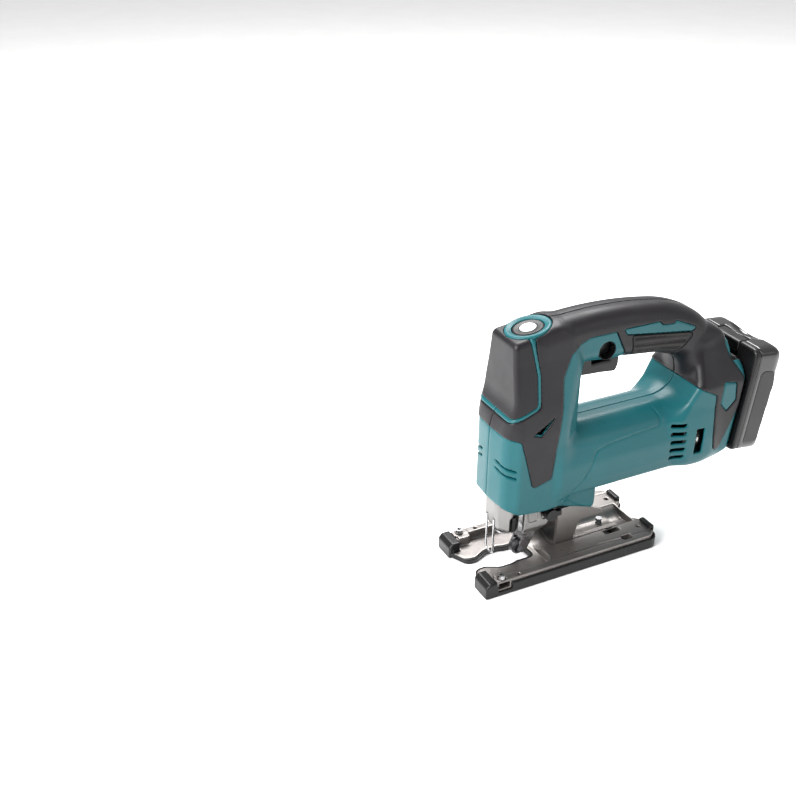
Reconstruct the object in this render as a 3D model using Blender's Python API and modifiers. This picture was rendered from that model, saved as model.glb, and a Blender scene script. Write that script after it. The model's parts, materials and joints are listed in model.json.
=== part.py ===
"""Cordless D-handle jigsaw: housing shells, drive, plunger, base and battery as separate solids.

The tool's front is -X, its left side is -Y and +Z is up.  The origin is under the middle of the whole
tool, on the surface it stands on.  Sizes are in millimetres, x is measured back from the base's front
edge, and MM turns them into the scene's metres.
"""
import math

import bmesh
import bpy
from mathutils import Matrix, Vector

MM = 0.001

# ---- general clearances and walls -------------------------------------------------------------
GAP = 0.3               # between touching pieces
RUN = 0.3               # round a turning or sliding piece
WALL = 2.6              # housing shells
PAD_PROUD = 1.2         # soft skins stand this far out of the shells
CASE_WALL = 2.0         # battery case

# ---- base -----------------------------------------------------------------------------------
BASE_LENGTH = 161.0
BASE_WIDTH = 77.0
BASE_TOP = 12.0
BASE_FLOOR = 4.8        # inner floor beside the throat
COVER_FLOOR = 2.5       # thickness of the cover under the plate
COVER_WALL = 1.5
COVER_HEIGHT = 9.0
RAIL_WIDTH = 8.5        # raised rails along both long edges
THROAT_REAR = 58.0
NECK_HALF = 5.8
THROAT_HALF = 11.0
THROAT_REAR_HALF = 9.5
CAP_LENGTH = 10.0
CAP_WIDTH = 19.0
RULE_SLOT_LENGTH = 9.5
RULE_SLOT_HEIGHT = 5.0
RULE_SCREW_X = 16.0
RULE_SCREW_Y = BASE_WIDTH / 2 - 5.5
RULE_SCREW_RADIUS = 3.0

# ---- bevel cradle ---------------------------------------------------------------------------
BEVEL_Z = 21.5
CRADLE_RADIUS = 16.5
BRACKET_WALL = 3.0
BRACKET_HALF = 12.5     # half the width over the walls
BRACKET_FRONT = 78.0
BRACKET_REAR = 122.0
FOOT_REAR = 137.0
BOLT_X = 128.0
BOLT_RADIUS = 2.5
BOLT_HEAD = 2.0
BOLT_HEAD_RADIUS = 4.4
BOLT_ROOM = 22.5        # radius of the room swept by the bolt's head, about the bevel axis
STRIP = 1.7             # thickness of the cradle over the bolt's slot

# ---- housing --------------------------------------------------------------------------------
HEAD_FRONT = 18.0
COLUMN_REAR = 84.0
HEAD_HALF = 28.0
MOTOR_Z = 91.0          # motor axis
REAR_HALF = 33.0
GRIP_HALF = 16.0
HANDLE_TOP = 206.6
LOBE_HALF = 20.0        # half the foot that the bevel bracket meets
NOSE_HALF = 16.0        # half the opening for the gear housing's nose
NOSE_REAR = 76.0
VENT_HEIGHTS = (104.0, 97.0, 90.0, 83.0, 76.0)
VENT_FRONT = 164.0
VENT_LENGTH = 15.0
SCREWS = ((62.0, 187.0), (160.0, 184.5), (199.0, 148.0), (200.0, 69.5), (98.0, 55.5))
BOSS_RADIUS = 3.8
SCREW_RADIUS = 1.6
SCREW_HEAD_RADIUS = 2.9

# ---- drive ----------------------------------------------------------------------------------
SHAFT_RADIUS = 3.0
STATOR_RADIUS = 24.0
STATOR_BORE = 14.0
STATOR_FRONT = 116.0
STATOR_LENGTH = 32.0
FAN_FRONT = 97.0
FAN_RADIUS = 22.5
FAN_LENGTH = 10.0
BEARING_LENGTH = 7.0
FRONT_BEARING_RADIUS = 9.5
FRONT_BEARING_X = 85.5
REAR_BEARING_X = 152.0
REAR_BEARING_RADIUS = 8.0
MODULE = 1.0
GEAR_TEETH = 44
PINION_TEETH = 8
GEAR_FRONT = 52.0
GEAR_WIDTH = 8.0
STROKE = 26.0
CRANK_PIN_RADIUS = 3.5
GEAR_SHAFT_RADIUS = 4.0
WEIGHT_TRAVEL = 6.0     # of the counterweight, each way
PLUNGER_X = 38.0
PLUNGER_RADIUS = 5.0
BUSH_WALL = 3.0
PLUNGER_TOP = 162.0
CLAMP_RADIUS = 8.0
CLAMP_LOW = 31.0
CLAMP_TOP = 52.0
FRAME_HALF = 16.0       # half the gear housing's width
FRAME_ROOF = 148.0
FRAME_REAR = 80.5
TOP_ARM_LOW = 141.0
BOTTOM_ARM_TOP = 84.0
BOSS_REAR = 92.5
CLAMP_ROOM = 12.3       # radius of the room round the blade clamp
CLAMP_ROOM_TOP = 66.0

# ---- roller ---------------------------------------------------------------------------------
ROLLER_X = 50.0
ROLLER_Z = 10.5
ROLLER_RADIUS = 6.5
ROLLER_WIDTH = 8.0
ROLLER_PIN_RADIUS = 2.0
ARM_WALL = 2.0
ARM_PIVOT_X = 60.0
ARM_PIVOT_Z = 57.0
ARM_PIN_RADIUS = 2.5
GUARD_X = 24.2
GUARD_HALF = 5.0
GUARD_TOP = 46.0
GUARD_WIRE = 0.9

# ---- controls -------------------------------------------------------------------------------
TRIGGER_TRAVEL = 4.5
TRIGGER_HALF = 9.0
TRIGGER_FRONT = 87.0
TRIGGER_REAR = 124.0
SPRING_X = 93.0
SPRING_RADIUS = 2.6
SPRING_WIRE = 0.5
SPRING_LOW = 158.0
SPRING_HIGH = 178.0
LOCK_PIN_X = 107.0
LOCK_PIN_Z = 176.5
LOCK_PIN_RADIUS = 7.0
BUTTON_X = 46.5
BUTTON_Z = 201.0
BUTTON_TILT = math.radians(11.0)
RING_RADIUS = 15.5
RING_DEPTH = 5.0
BUTTON_RADIUS = 10.5
OVAL = 1.15             # length over width of the ring and its button
DIAL_X = 191.0
DIAL_Z = 88.0
DIAL_RADIUS = 12.0
DIAL_WIDTH = 6.0
ORBIT_X = 66.0
ORBIT_Z = 47.0
ORBIT_REACH = 9.0

# ---- battery --------------------------------------------------------------------------------
BATTERY_LEAN = math.radians(7.0)
BATTERY_FOOT_X = 223.8  # mounting plane at BATTERY_FOOT_Z
BATTERY_FOOT_Z = 74.0
BATTERY_DEPTH = 31.0
BATTERY_HEIGHT = 88.0
BATTERY_WIDTH = 75.0
BATTERY_SHOULDER = 15.4 # the back face ends this far below the top
RAIL_DEPTH = 12.0
RAIL_HALF = 24.0
RAIL_HEIGHT = 70.0
LATCH_HALF = 15.0
LATCH_TRAVEL = 3.0
NOTCH_DEPTH = 17.0      # of the latch's recess, below the battery's top
NOTCH_REAR = 12.0

GEAR_RADIUS = MODULE * GEAR_TEETH / 2
PINION_RADIUS = MODULE * PINION_TEETH / 2
GEAR_Z = MOTOR_Z + GEAR_RADIUS + PINION_RADIUS
MOTOR_HALF = STATOR_RADIUS + 6.0
DIAL_Y = -(MOTOR_HALF + 1.5 - DIAL_RADIUS)
BUSH_OUTER = PLUNGER_RADIUS + RUN + BUSH_WALL
FRAME_FRONT = PLUNGER_X - BUSH_OUTER - 1.4
ARM_HALF = ROLLER_WIDTH / 2 + RUN + ARM_WALL
YOKE_REAR = PLUNGER_X + PLUNGER_RADIUS + 3
YOKE_HALF = STROKE / 2 + CRANK_PIN_RADIUS + 4
YOKE_HEIGHT = CRANK_PIN_RADIUS + 3.5
WEIGHT_FRONT = GEAR_FRONT + GEAR_WIDTH + 2
BATTERY_REACH = (BATTERY_DEPTH * math.cos(BATTERY_LEAN)
                 + (BATTERY_HEIGHT - BATTERY_SHOULDER) * math.sin(BATTERY_LEAN))
LENGTH = BATTERY_FOOT_X + BATTERY_REACH
X_FRONT = -LENGTH / 2

PARTS = "cordless_jigsaw"
CUTTERS = "cutters"


# ---- scene ----------------------------------------------------------------------------------
def clear_scene():
    for obj in list(bpy.data.objects):
        bpy.data.objects.remove(obj, do_unlink=True)
    for name in (PARTS, CUTTERS):
        old = bpy.data.collections.get(name)
        if old:
            bpy.data.collections.remove(old)
        bpy.context.scene.collection.children.link(bpy.data.collections.new(name))


def material(name, colour, roughness, metallic=0.0):
    found = bpy.data.materials.get(name)
    if found:
        return found
    made = bpy.data.materials.new(name)
    made.use_nodes = True
    shader = made.node_tree.nodes["Principled BSDF"]
    shader.inputs["Base Color"].default_value = (*colour, 1.0)
    shader.inputs["Roughness"].default_value = roughness
    shader.inputs["Metallic"].default_value = metallic
    return made


def teal():
    return material("teal_plastic", (0.05, 0.24, 0.26), 0.42)


def rubber():
    return material("grey_rubber", (0.035, 0.032, 0.036), 0.7)


def black():
    return material("black_plastic", (0.012, 0.012, 0.013), 0.35)


def cast():
    return material("cast_aluminium", (0.42, 0.41, 0.40), 0.45, 0.9)


def steel():
    return material("steel", (0.6, 0.6, 0.6), 0.3, 1.0)


def copper():
    return material("windings", (0.5, 0.24, 0.12), 0.5, 0.6)


# ---- mesh helpers ---------------------------------------------------------------------------
def new_object(name, mesh, collection=CUTTERS):
    obj = bpy.data.objects.new(name, mesh)
    bpy.data.collections[collection].objects.link(obj)
    obj.hide_render = True
    obj.display_type = "WIRE"
    return obj


def from_bmesh(name, bm):
    bmesh.ops.recalc_face_normals(bm, faces=bm.faces)
    mesh = bpy.data.meshes.new(name)
    bm.to_mesh(mesh)
    bm.free()
    return new_object(name, mesh)


def evaluated_copy(obj):
    """Replace an object's mesh by its evaluated one and drop its modifiers."""
    graph = bpy.context.evaluated_depsgraph_get()
    mesh = bpy.data.meshes.new_from_object(obj.evaluated_get(graph))
    obj.modifiers.clear()
    obj.data = mesh
    return obj


def boolean(target, other, operation):
    step = target.modifiers.new("step", "BOOLEAN")
    step.operation = operation
    step.object = other
    bpy.context.view_layer.update()
    evaluated_copy(target)
    bpy.data.objects.remove(other, do_unlink=True)
    return target


def cut(target, *others):
    for other in others:
        boolean(target, other, "DIFFERENCE")
    return target


def join(target, *others):
    for other in others:
        boolean(target, other, "UNION")
    return target


def keep(target, *others):
    for other in others:
        boolean(target, other, "INTERSECT")
    return target


def copy_of(obj):
    return new_object(obj.name + "_copy", obj.data.copy())


def bevel(obj, width, segments=2, angle=40):
    step = obj.modifiers.new("edges", "BEVEL")
    step.width = width * MM
    step.segments = segments
    step.limit_method = "ANGLE"
    step.angle_limit = math.radians(angle)
    bpy.context.view_layer.update()
    return evaluated_copy(obj)


def finish(name, obj, surface, smooth=30):
    """Turn a worked-up solid into a named part of the tool."""
    obj.name = name
    obj.data.name = name
    obj.data.materials.clear()
    obj.data.materials.append(surface)
    obj.data.shade_smooth()
    obj.data.set_sharp_from_angle(angle=math.radians(smooth))
    bpy.data.collections[CUTTERS].objects.unlink(obj)
    bpy.data.collections[PARTS].objects.link(obj)
    obj.hide_render = False
    obj.display_type = "TEXTURED"
    return obj


# ---- outlines -------------------------------------------------------------------------------
def rounded(corners, steps=2):
    """Fillet a closed outline given as (a, b, radius) corners."""
    points = []
    count = len(corners)
    for index, (a, b, radius) in enumerate(corners):
        here = Vector((a, b))
        if radius <= 0:
            points.append((a, b))
            continue
        before = Vector(corners[index - 1][:2]) - here
        after = Vector(corners[(index + 1) % count][:2]) - here
        half = before.angle(after) / 2
        reach = min(radius / math.tan(half), 0.49 * before.length, 0.49 * after.length)
        radius = reach * math.tan(half)
        start = here + before.normalized() * reach
        end = here + after.normalized() * reach
        middle = here + (before.normalized() + after.normalized()).normalized() * radius / math.sin(half)
        for step in range(steps + 1):
            spot = start.lerp(end, step / steps) - middle
            points.append(tuple(middle + spot.normalized() * radius))
    return points


def grown(corners, amount):
    """Move every side of a closed (a, b, radius) outline outwards by amount."""
    count = len(corners)
    spin = sum(corners[i - 1][0] * corners[i][1] - corners[i][0] * corners[i - 1][1] for i in range(count))
    side = 1.0 if spin > 0 else -1.0
    result = []
    for index, (a, b, radius) in enumerate(corners):
        here = Vector((a, b))
        incoming = (here - Vector(corners[index - 1][:2])).normalized()
        outgoing = (Vector(corners[(index + 1) % count][:2]) - here).normalized()
        normal_in = Vector((incoming.y, -incoming.x)) * side
        normal_out = Vector((outgoing.y, -outgoing.x)) * side
        middle = (normal_in + normal_out).normalized()
        spot = here + middle * amount / max(0.35, middle.dot(normal_in))
        turn = incoming.x * outgoing.y - incoming.y * outgoing.x
        outward = amount if turn * side > 0 else -amount
        result.append((spot.x, spot.y, max(0.0, radius + outward) if radius else 0.0))
    return result


def mirrored(corners):
    """Complete an outline that is given on its positive side by its mirror image."""
    return corners + [(-a, b, radius) for a, b, radius in reversed(corners)]


def prism(points, low, high, plane):
    """Fill a closed outline and give it thickness: side (x, z), front (y, z) or plan (x, y)."""
    curve = bpy.data.curves.new("outline", "CURVE")
    curve.dimensions = "2D"
    curve.fill_mode = "BOTH"
    curve.extrude = (high - low) * MM / 2
    spline = curve.splines.new("POLY")
    spline.points.add(len(points) - 1)
    for point, (a, b) in zip(spline.points, points):
        point.co = (a * MM, b * MM, 0.0, 1.0)
    spline.use_cyclic_u = True
    drawn = bpy.data.objects.new("outline", curve)
    bpy.data.collections[CUTTERS].objects.link(drawn)
    bpy.context.view_layer.update()
    graph = bpy.context.evaluated_depsgraph_get()
    mesh = bpy.data.meshes.new_from_object(drawn.evaluated_get(graph))
    bpy.data.objects.remove(drawn, do_unlink=True)
    middle = (low + high) * MM / 2
    offset = X_FRONT * MM
    if plane == "side":
        place = Matrix(((1, 0, 0, offset), (0, 0, -1, middle), (0, 1, 0, 0), (0, 0, 0, 1)))
    elif plane == "front":
        place = Matrix(((0, 0, 1, middle + offset), (1, 0, 0, 0), (0, 1, 0, 0), (0, 0, 0, 1)))
    else:
        place = Matrix(((1, 0, 0, offset), (0, 1, 0, 0), (0, 0, 1, middle), (0, 0, 0, 1)))
    bm = bmesh.new()
    bm.from_mesh(mesh)
    bmesh.ops.remove_doubles(bm, verts=bm.verts, dist=1e-6)
    bmesh.ops.dissolve_limit(bm, angle_limit=0.001, verts=bm.verts, edges=bm.edges)
    bmesh.ops.transform(bm, matrix=place, verts=bm.verts)
    return from_bmesh("prism", bm)


def box(low, high):
    """A block between two corners, x measured from the base's front edge."""
    bm = bmesh.new()
    bmesh.ops.create_cube(bm, size=1.0)
    size = [(b - a) * MM for a, b in zip(low, high)]
    middle = [(a + b) * MM / 2 for a, b in zip(low, high)]
    middle[0] += X_FRONT * MM
    bmesh.ops.scale(bm, vec=size, verts=bm.verts)
    bmesh.ops.translate(bm, vec=middle, verts=bm.verts)
    return from_bmesh("box", bm)


def rod(start, end, radius, sides=20, end_radius=None):
    """A round bar, or a cone, between two points."""
    first = Vector((start[0] + X_FRONT, start[1], start[2])) * MM
    last = Vector((end[0] + X_FRONT, end[1], end[2])) * MM
    along = last - first
    bm = bmesh.new()
    tip = radius if end_radius is None else end_radius
    bmesh.ops.create_cone(bm, cap_ends=True, segments=sides, radius1=radius * MM, radius2=tip * MM,
                          depth=along.length)
    turn = along.to_track_quat("Z", "Y").to_matrix().to_4x4()
    bmesh.ops.transform(bm, matrix=Matrix.Translation((first + last) / 2) @ turn, verts=bm.verts)
    return from_bmesh("rod", bm)


def tube(start, end, outer, inner, sides=20):
    wall = rod(start, end, outer, sides)
    along = (Vector(end) - Vector(start)).normalized()
    return cut(wall, rod(Vector(start) - along, Vector(end) + along, inner, sides))


def wire(points, radius, name):
    """A round wire through points, with closed ends."""
    curve = bpy.data.curves.new(name, "CURVE")
    curve.dimensions = "3D"
    curve.bevel_depth = radius * MM
    curve.bevel_resolution = 2
    curve.use_fill_caps = True
    spline = curve.splines.new("POLY")
    spline.points.add(len(points) - 1)
    for point, (x, y, z) in zip(spline.points, points):
        point.co = ((x + X_FRONT) * MM, y * MM, z * MM, 1.0)
    drawn = bpy.data.objects.new(name, curve)
    bpy.data.collections[CUTTERS].objects.link(drawn)
    bpy.context.view_layer.update()
    graph = bpy.context.evaluated_depsgraph_get()
    mesh = bpy.data.meshes.new_from_object(drawn.evaluated_get(graph))
    bpy.data.objects.remove(drawn, do_unlink=True)
    bm = bmesh.new()
    bm.from_mesh(mesh)
    bmesh.ops.remove_doubles(bm, verts=bm.verts, dist=1e-6)
    return from_bmesh(name, bm)


def toothed(x_low, x_high, z_middle, teeth, phase):
    """A spur gear about an axis along X, with slim teeth that leave backlash."""
    pitch = MODULE * teeth / 2
    points = []
    for tooth in range(teeth):
        for share, radius in ((-0.30, pitch - 1.15 * MODULE), (-0.10, pitch + 0.75 * MODULE),
                              (0.10, pitch + 0.75 * MODULE), (0.30, pitch - 1.15 * MODULE)):
            angle = 2 * math.pi * (tooth + share + phase) / teeth
            points.append((radius * math.cos(angle), z_middle + radius * math.sin(angle)))
    return prism(points, x_low, x_high, "front")


# ---- housing forms --------------------------------------------------------------------------
def mount_x(z):
    """The battery mounting plane's place at a height."""
    return BATTERY_FOOT_X + (z - BATTERY_FOOT_Z) * math.tan(BATTERY_LEAN)


def arc_steps(grow):
    """Coarser rounding inside the shells than outside."""
    return 1 if grow < 0 else 2


def head_form(grow):
    side = [(HEAD_FRONT, 66, 4), (34, 58, 12), (57, 55, 10), (COLUMN_REAR, 58, 6), (COLUMN_REAR, 168, 8),
            (68, HANDLE_TOP - 3.5, 8), (27, HANDLE_TOP - 9.5, 5), (26.5, 150, 30), (HEAD_FRONT, 124, 30)]
    front = mirrored([(HEAD_HALF - 4, 50, 0), (HEAD_HALF, 68, 20), (HEAD_HALF, 125, 40), (18.5, 180, 40), (14.5, 212, 8)])
    plan = mirrored([(3, HEAD_FRONT, 3), (HEAD_HALF - 8, HEAD_FRONT + 2.5, 8),
                     (HEAD_HALF - 1, HEAD_FRONT + 13.5, 3), (HEAD_HALF, 54, 20), (HEAD_HALF, COLUMN_REAR - 15, 8),
                     (HEAD_HALF - 10.7, COLUMN_REAR + 1, 6), (8, COLUMN_REAR + 12, 0)])
    plan = [(x, y, radius) for y, x, radius in plan]
    form = prism(rounded(grown(side, grow), arc_steps(grow)), -40, 40, "side")
    keep(form, prism(rounded(grown(front, grow), arc_steps(grow)), 0, 120, "front"))
    return keep(form, prism(rounded(grown(plan, grow), arc_steps(grow)), 20, 230, "plan"))


def lobe_form(grow):
    side = [(66, 76, 0), (72, 52, 4), (97, 44.5, 5), (105, 48, 4), (105, 76, 0)]
    return prism(rounded(grown(side, grow), arc_steps(grow)), -LOBE_HALF - grow, LOBE_HALF + grow, "side")


def motor_form(grow):
    under, over = MOTOR_Z - MOTOR_HALF + 0.5, MOTOR_Z + MOTOR_HALF
    side = [(62, under, 0), (196, under, 20), (206, under + 10.5, 8), (206, over - 9, 10), (188, over, 8), (62, over, 0)]
    front = mirrored([(MOTOR_HALF - 4, under, 9), (MOTOR_HALF, MOTOR_Z - 14, 12), (MOTOR_HALF, MOTOR_Z, 24),
                      (MOTOR_HALF - 5, MOTOR_Z + 20, 14), (9, over - 0.5, 12)])
    form = prism(rounded(grown(side, grow), arc_steps(grow)), -40, 40, "side")
    return keep(form, prism(rounded(grown(front, grow), arc_steps(grow)), 50, 220, "front"))


def rear_form(grow):
    side = [(172, 108, 0), (182, 64, 10), (212, 62, 10), (mount_x(72), 72, 5), (mount_x(140), 140, 6),
            (mount_x(154) - 6, 154, 8), (212, 174, 10), (194, 166, 0), (188, 136, 14)]
    front = mirrored([(24, 58, 10), (REAR_HALF, 72, 12), (REAR_HALF, 134, 10), (17, 160, 14), (13, 190, 0)])
    form = prism(rounded(grown(side, grow), arc_steps(grow)), -45, 45, "side")
    return keep(form, prism(rounded(grown(front, grow), arc_steps(grow)), 150, 260, "front"))


def handle_form(grow):
    side = [(40, 130, 0), (40, HANDLE_TOP - 6, 8), (66, HANDLE_TOP - 1.8, 30), (98, HANDLE_TOP, 60),
            (132, HANDLE_TOP - 1.5, 60), (168, HANDLE_TOP - 7, 40), (193, HANDLE_TOP - 18, 30),
            (210, HANDLE_TOP - 34, 30), (224, 150, 10), (210, 128, 0), (190, 136, 12), (181, 154, 12),
            (157, 162, 20), (127, 165, 4), (124, 167.5, 2), (COLUMN_REAR + 1, 169, 6), (COLUMN_REAR, 118, 0),
            (60, 118, 0)]
    form = prism(rounded(grown(side, grow), arc_steps(grow)), -GRIP_HALF - grow, GRIP_HALF + grow, "side")
    return bevel(form, max(2.0, 7.5 + grow), arc_steps(grow), 60)


def body_form(grow):
    return join(head_form(grow), lobe_form(grow), motor_form(grow), rear_form(grow), handle_form(grow))


# ---- battery place --------------------------------------------------------------------------
def battery_point(u, y, v):
    """A point u behind the mounting plane and v up along it."""
    return (BATTERY_FOOT_X + u * math.cos(BATTERY_LEAN) + v * math.sin(BATTERY_LEAN), y,
            BATTERY_FOOT_Z - u * math.sin(BATTERY_LEAN) + v * math.cos(BATTERY_LEAN))


def battery_prism(corners, low, high, steps=3):
    """An outline in the battery's own (u, v) frame, given thickness across the tool."""
    leaned = []
    for u, v in rounded(corners, steps):
        x, _, z = battery_point(u, 0, v)
        leaned.append((x, z))
    return prism(leaned, low, high, "side")


def battery_block(low, high):
    corners = [(low[0], low[2], 0), (high[0], low[2], 0), (high[0], high[2], 0), (low[0], high[2], 0)]
    return battery_prism(corners, low[1], high[1])


# ---- housing --------------------------------------------------------------------------------
def screw_face(x, z):
    """How far right of the middle each screw's head sits."""
    if z > 140:
        return GRIP_HALF - 2
    return LOBE_HALF - 2 if x < 120 else REAR_HALF - 8


def gear_space():
    """The opening in the head's floor for the gear housing's nose."""
    return box((HEAD_FRONT + WALL + GAP, -NOSE_HALF - GAP, 40), (NOSE_REAR + GAP, NOSE_HALF + GAP, 72))


def housing_cutters():
    pin_low = (LOCK_PIN_X, -40, LOCK_PIN_Z)
    pin_high = (LOCK_PIN_X, 40, LOCK_PIN_Z)
    yield gear_space()
    yield box((FRAME_FRONT - GAP, -FRAME_HALF + 3, 135), (PLUNGER_X, FRAME_HALF - 3, FRAME_ROOF + GAP))
    yield rod(pin_low, pin_high, LOCK_PIN_RADIUS + RUN)
    yield box((TRIGGER_FRONT - RUN, -TRIGGER_HALF - RUN, 140), (TRIGGER_REAR + RUN, TRIGGER_HALF + RUN, 174))
    yield oval(RING_RADIUS + GAP, -RING_DEPTH - GAP, 30)
    yield oval(BUTTON_RADIUS + RUN, -RING_DEPTH - 6, 30)
    yield rod((DIAL_X - DIAL_WIDTH / 2 - RUN, DIAL_Y, DIAL_Z), (DIAL_X + DIAL_WIDTH / 2 + RUN, DIAL_Y, DIAL_Z),
              DIAL_RADIUS + RUN)
    for side in (-1, 1):
        for z in VENT_HEIGHTS:
            yield box((VENT_FRONT, side * 33 - 10, z - 1.3), (VENT_FRONT + VENT_LENGTH, side * 33 + 10, z + 1.3))
        for z in (83.0, 89.0):
            yield box((24, side * 25 - 5, z - 0.8), (42, side * 25 + 5, z + 0.8))
    yield battery_block((-RAIL_DEPTH - GAP, -RAIL_HALF - GAP, -4), (3, RAIL_HALF + GAP, 130))
    lean = [(GAP, -30, 0), (60, -30, 0), (60, 120, 0), (GAP, 120, 0)]
    yield battery_prism([(u - 2 * GAP, v, radius) for u, v, radius in lean], -60, 60)


def oval(radius, low, high, sides=32):
    """A slab of the oval ring's shape, square to the ring's own axis."""
    slab = rod((0, 0, low), (0, 0, high), radius, sides)
    place = (Matrix.Translation(Vector((BUTTON_X + X_FRONT, 0, BUTTON_Z)) * MM)
             @ Matrix.Rotation(-BUTTON_TILT, 4, "Y") @ Matrix.Diagonal((OVAL, 1, 1, 1))
             @ Matrix.Translation((-X_FRONT * MM, 0, 0)))
    slab.data.transform(place)
    return slab


def cavity():
    """The hollow inside the shells, with motor ribs and screw bosses left standing."""
    hollow = body_form(-WALL)
    for x in (STATOR_FRONT + 4, STATOR_FRONT + STATOR_LENGTH - 6):
        rib = box((x, -40, 50), (x + 2, 40, 118))
        cut(hollow, cut(rib, rod((x - 1, 0, MOTOR_Z), (x + 3, 0, MOTOR_Z), STATOR_RADIUS + GAP, 32)))
    wall = box((REAR_BEARING_X, -40, 50), (REAR_BEARING_X + BEARING_LENGTH, 40, 118))
    cut(hollow, cut(wall, rod((REAR_BEARING_X - 1, 0, MOTOR_Z), (REAR_BEARING_X + BEARING_LENGTH + 1, 0, MOTOR_Z),
                              REAR_BEARING_RADIUS + GAP, 32)))
    cut(hollow, box((SPRING_X - 4, -40, SPRING_HIGH + GAP), (SPRING_X + 4, 40, SPRING_HIGH + GAP + 2)))
    for x, z in SCREWS:
        cut(hollow, rod((x, -40, z), (x, 40, z), BOSS_RADIUS, 16))
    return hollow


def make_housing():
    body = body_form(0.0)
    cut(body, cavity(), *housing_cutters())
    cut(body, make_screw_holes())
    for name, low, high in (("left_housing", -60, -GAP / 2), ("right_housing", GAP / 2, 60)):
        half = keep(copy_of(body), box((-10, low, 0), (300, high, 260)))
        finish(name, half, teal())
    bpy.data.objects.remove(body, do_unlink=True)


def make_screw_holes():
    holes = None
    for x, z in SCREWS:
        face = screw_face(x, z)
        hole = rod((x, -8, z), (x, 50, z), SCREW_RADIUS + GAP, 12)
        join(hole, rod((x, face, z), (x, 50, z), SCREW_HEAD_RADIUS + GAP, 12))
        holes = hole if holes is None else join(holes, hole)
    return holes


def make_screws():
    for number, (x, z) in enumerate(SCREWS, 1):
        face = screw_face(x, z)
        screw = rod((x, -6, z), (x, face + 1, z), SCREW_RADIUS, 12)
        join(screw, rod((x, face + GAP, z), (x, face + 2.2, z), SCREW_HEAD_RADIUS, 12))
        cut(screw, rod((x, face + 1.2, z), (x, face + 5, z), 1.2, 6))
        finish(f"housing_screw_{number}", screw, steel())


# ---- soft skins -----------------------------------------------------------------------------
CAP_REGION = [(0, 145, 0), (21, 142, 6), (44, 150, 6), (43, 175, 10), (35, 192, 0), (0, 200, 0)]
SKIN_REGION = [(56, 230, 0), (50, 190, 0), (47, 175, 6), (47.5, 148, 4), (22, 138.5, 6), (0, 141, 0), (0, 124, 0),
               (19, 124, 0), (34, 121, 3), (43, 61, 2), (57, 64, 2), (66, 67, 2), (70, 115, 10), (70, 170, 8),
               (76, 186, 8), (92, 192, 4), (119, 193, 3), (189, 180, 4), (191, 166, 8), (186, 154, 6), (178, 146, 0),
               (190, 140, 0), (201, 129, 3), (199, 104, 10), (203, 80, 3), (214, 79, 3), (219, 95, 6), (226, 112, 6),
               (228, 134, 5), (219, 150, 5), (216, 165, 20), (240, 190, 0), (200, 230, 0)]
INSERT_REGION = [(122, 192, 2), (187, 179, 3), (189, 166, 6), (184, 155.5, 5), (160, 154, 0), (129, 158, 0)]


def skin(region, low, high):
    """A soft skin over a side-view region of the body, between two planes across the tool."""
    layer = body_form(PAD_PROUD)
    cut(layer, body_form(GAP))
    keep(layer, prism(rounded(region, 2), low, high, "side"))
    for tool in housing_cutters():
        cut(layer, tool)
    return layer


def largest_body(obj):
    """Keep the biggest connected piece of a skin and drop the slivers that its region leaves."""
    bm = bmesh.new()
    bm.from_mesh(obj.data)
    unseen = set(bm.faces)
    groups = []
    while unseen:
        group = []
        stack = [unseen.pop()]
        while stack:
            face = stack.pop()
            group.append(face)
            for edge in face.edges:
                for near in edge.link_faces:
                    if near in unseen:
                        unseen.remove(near)
                        stack.append(near)
        groups.append(group)
    groups.sort(key=lambda faces: sum(face.calc_area() for face in faces))
    for group in groups[:-1]:
        bmesh.ops.delete(bm, geom=group, context="FACES")
    bm.to_mesh(obj.data)
    bm.free()
    return obj


def make_skins():
    finish("front_cap", largest_body(skin(CAP_REGION, -50, 50)), rubber())
    for side, low, high in (("left", -60, -GAP / 2), ("right", GAP / 2, 60)):
        finish(f"{side}_overmould", largest_body(skin(SKIN_REGION, low, high)), rubber())
        inner = (low, -6) if side == "left" else (6, high)
        finish(f"{side}_grip_insert", largest_body(skin(INSERT_REGION, *inner)), rubber())


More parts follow.
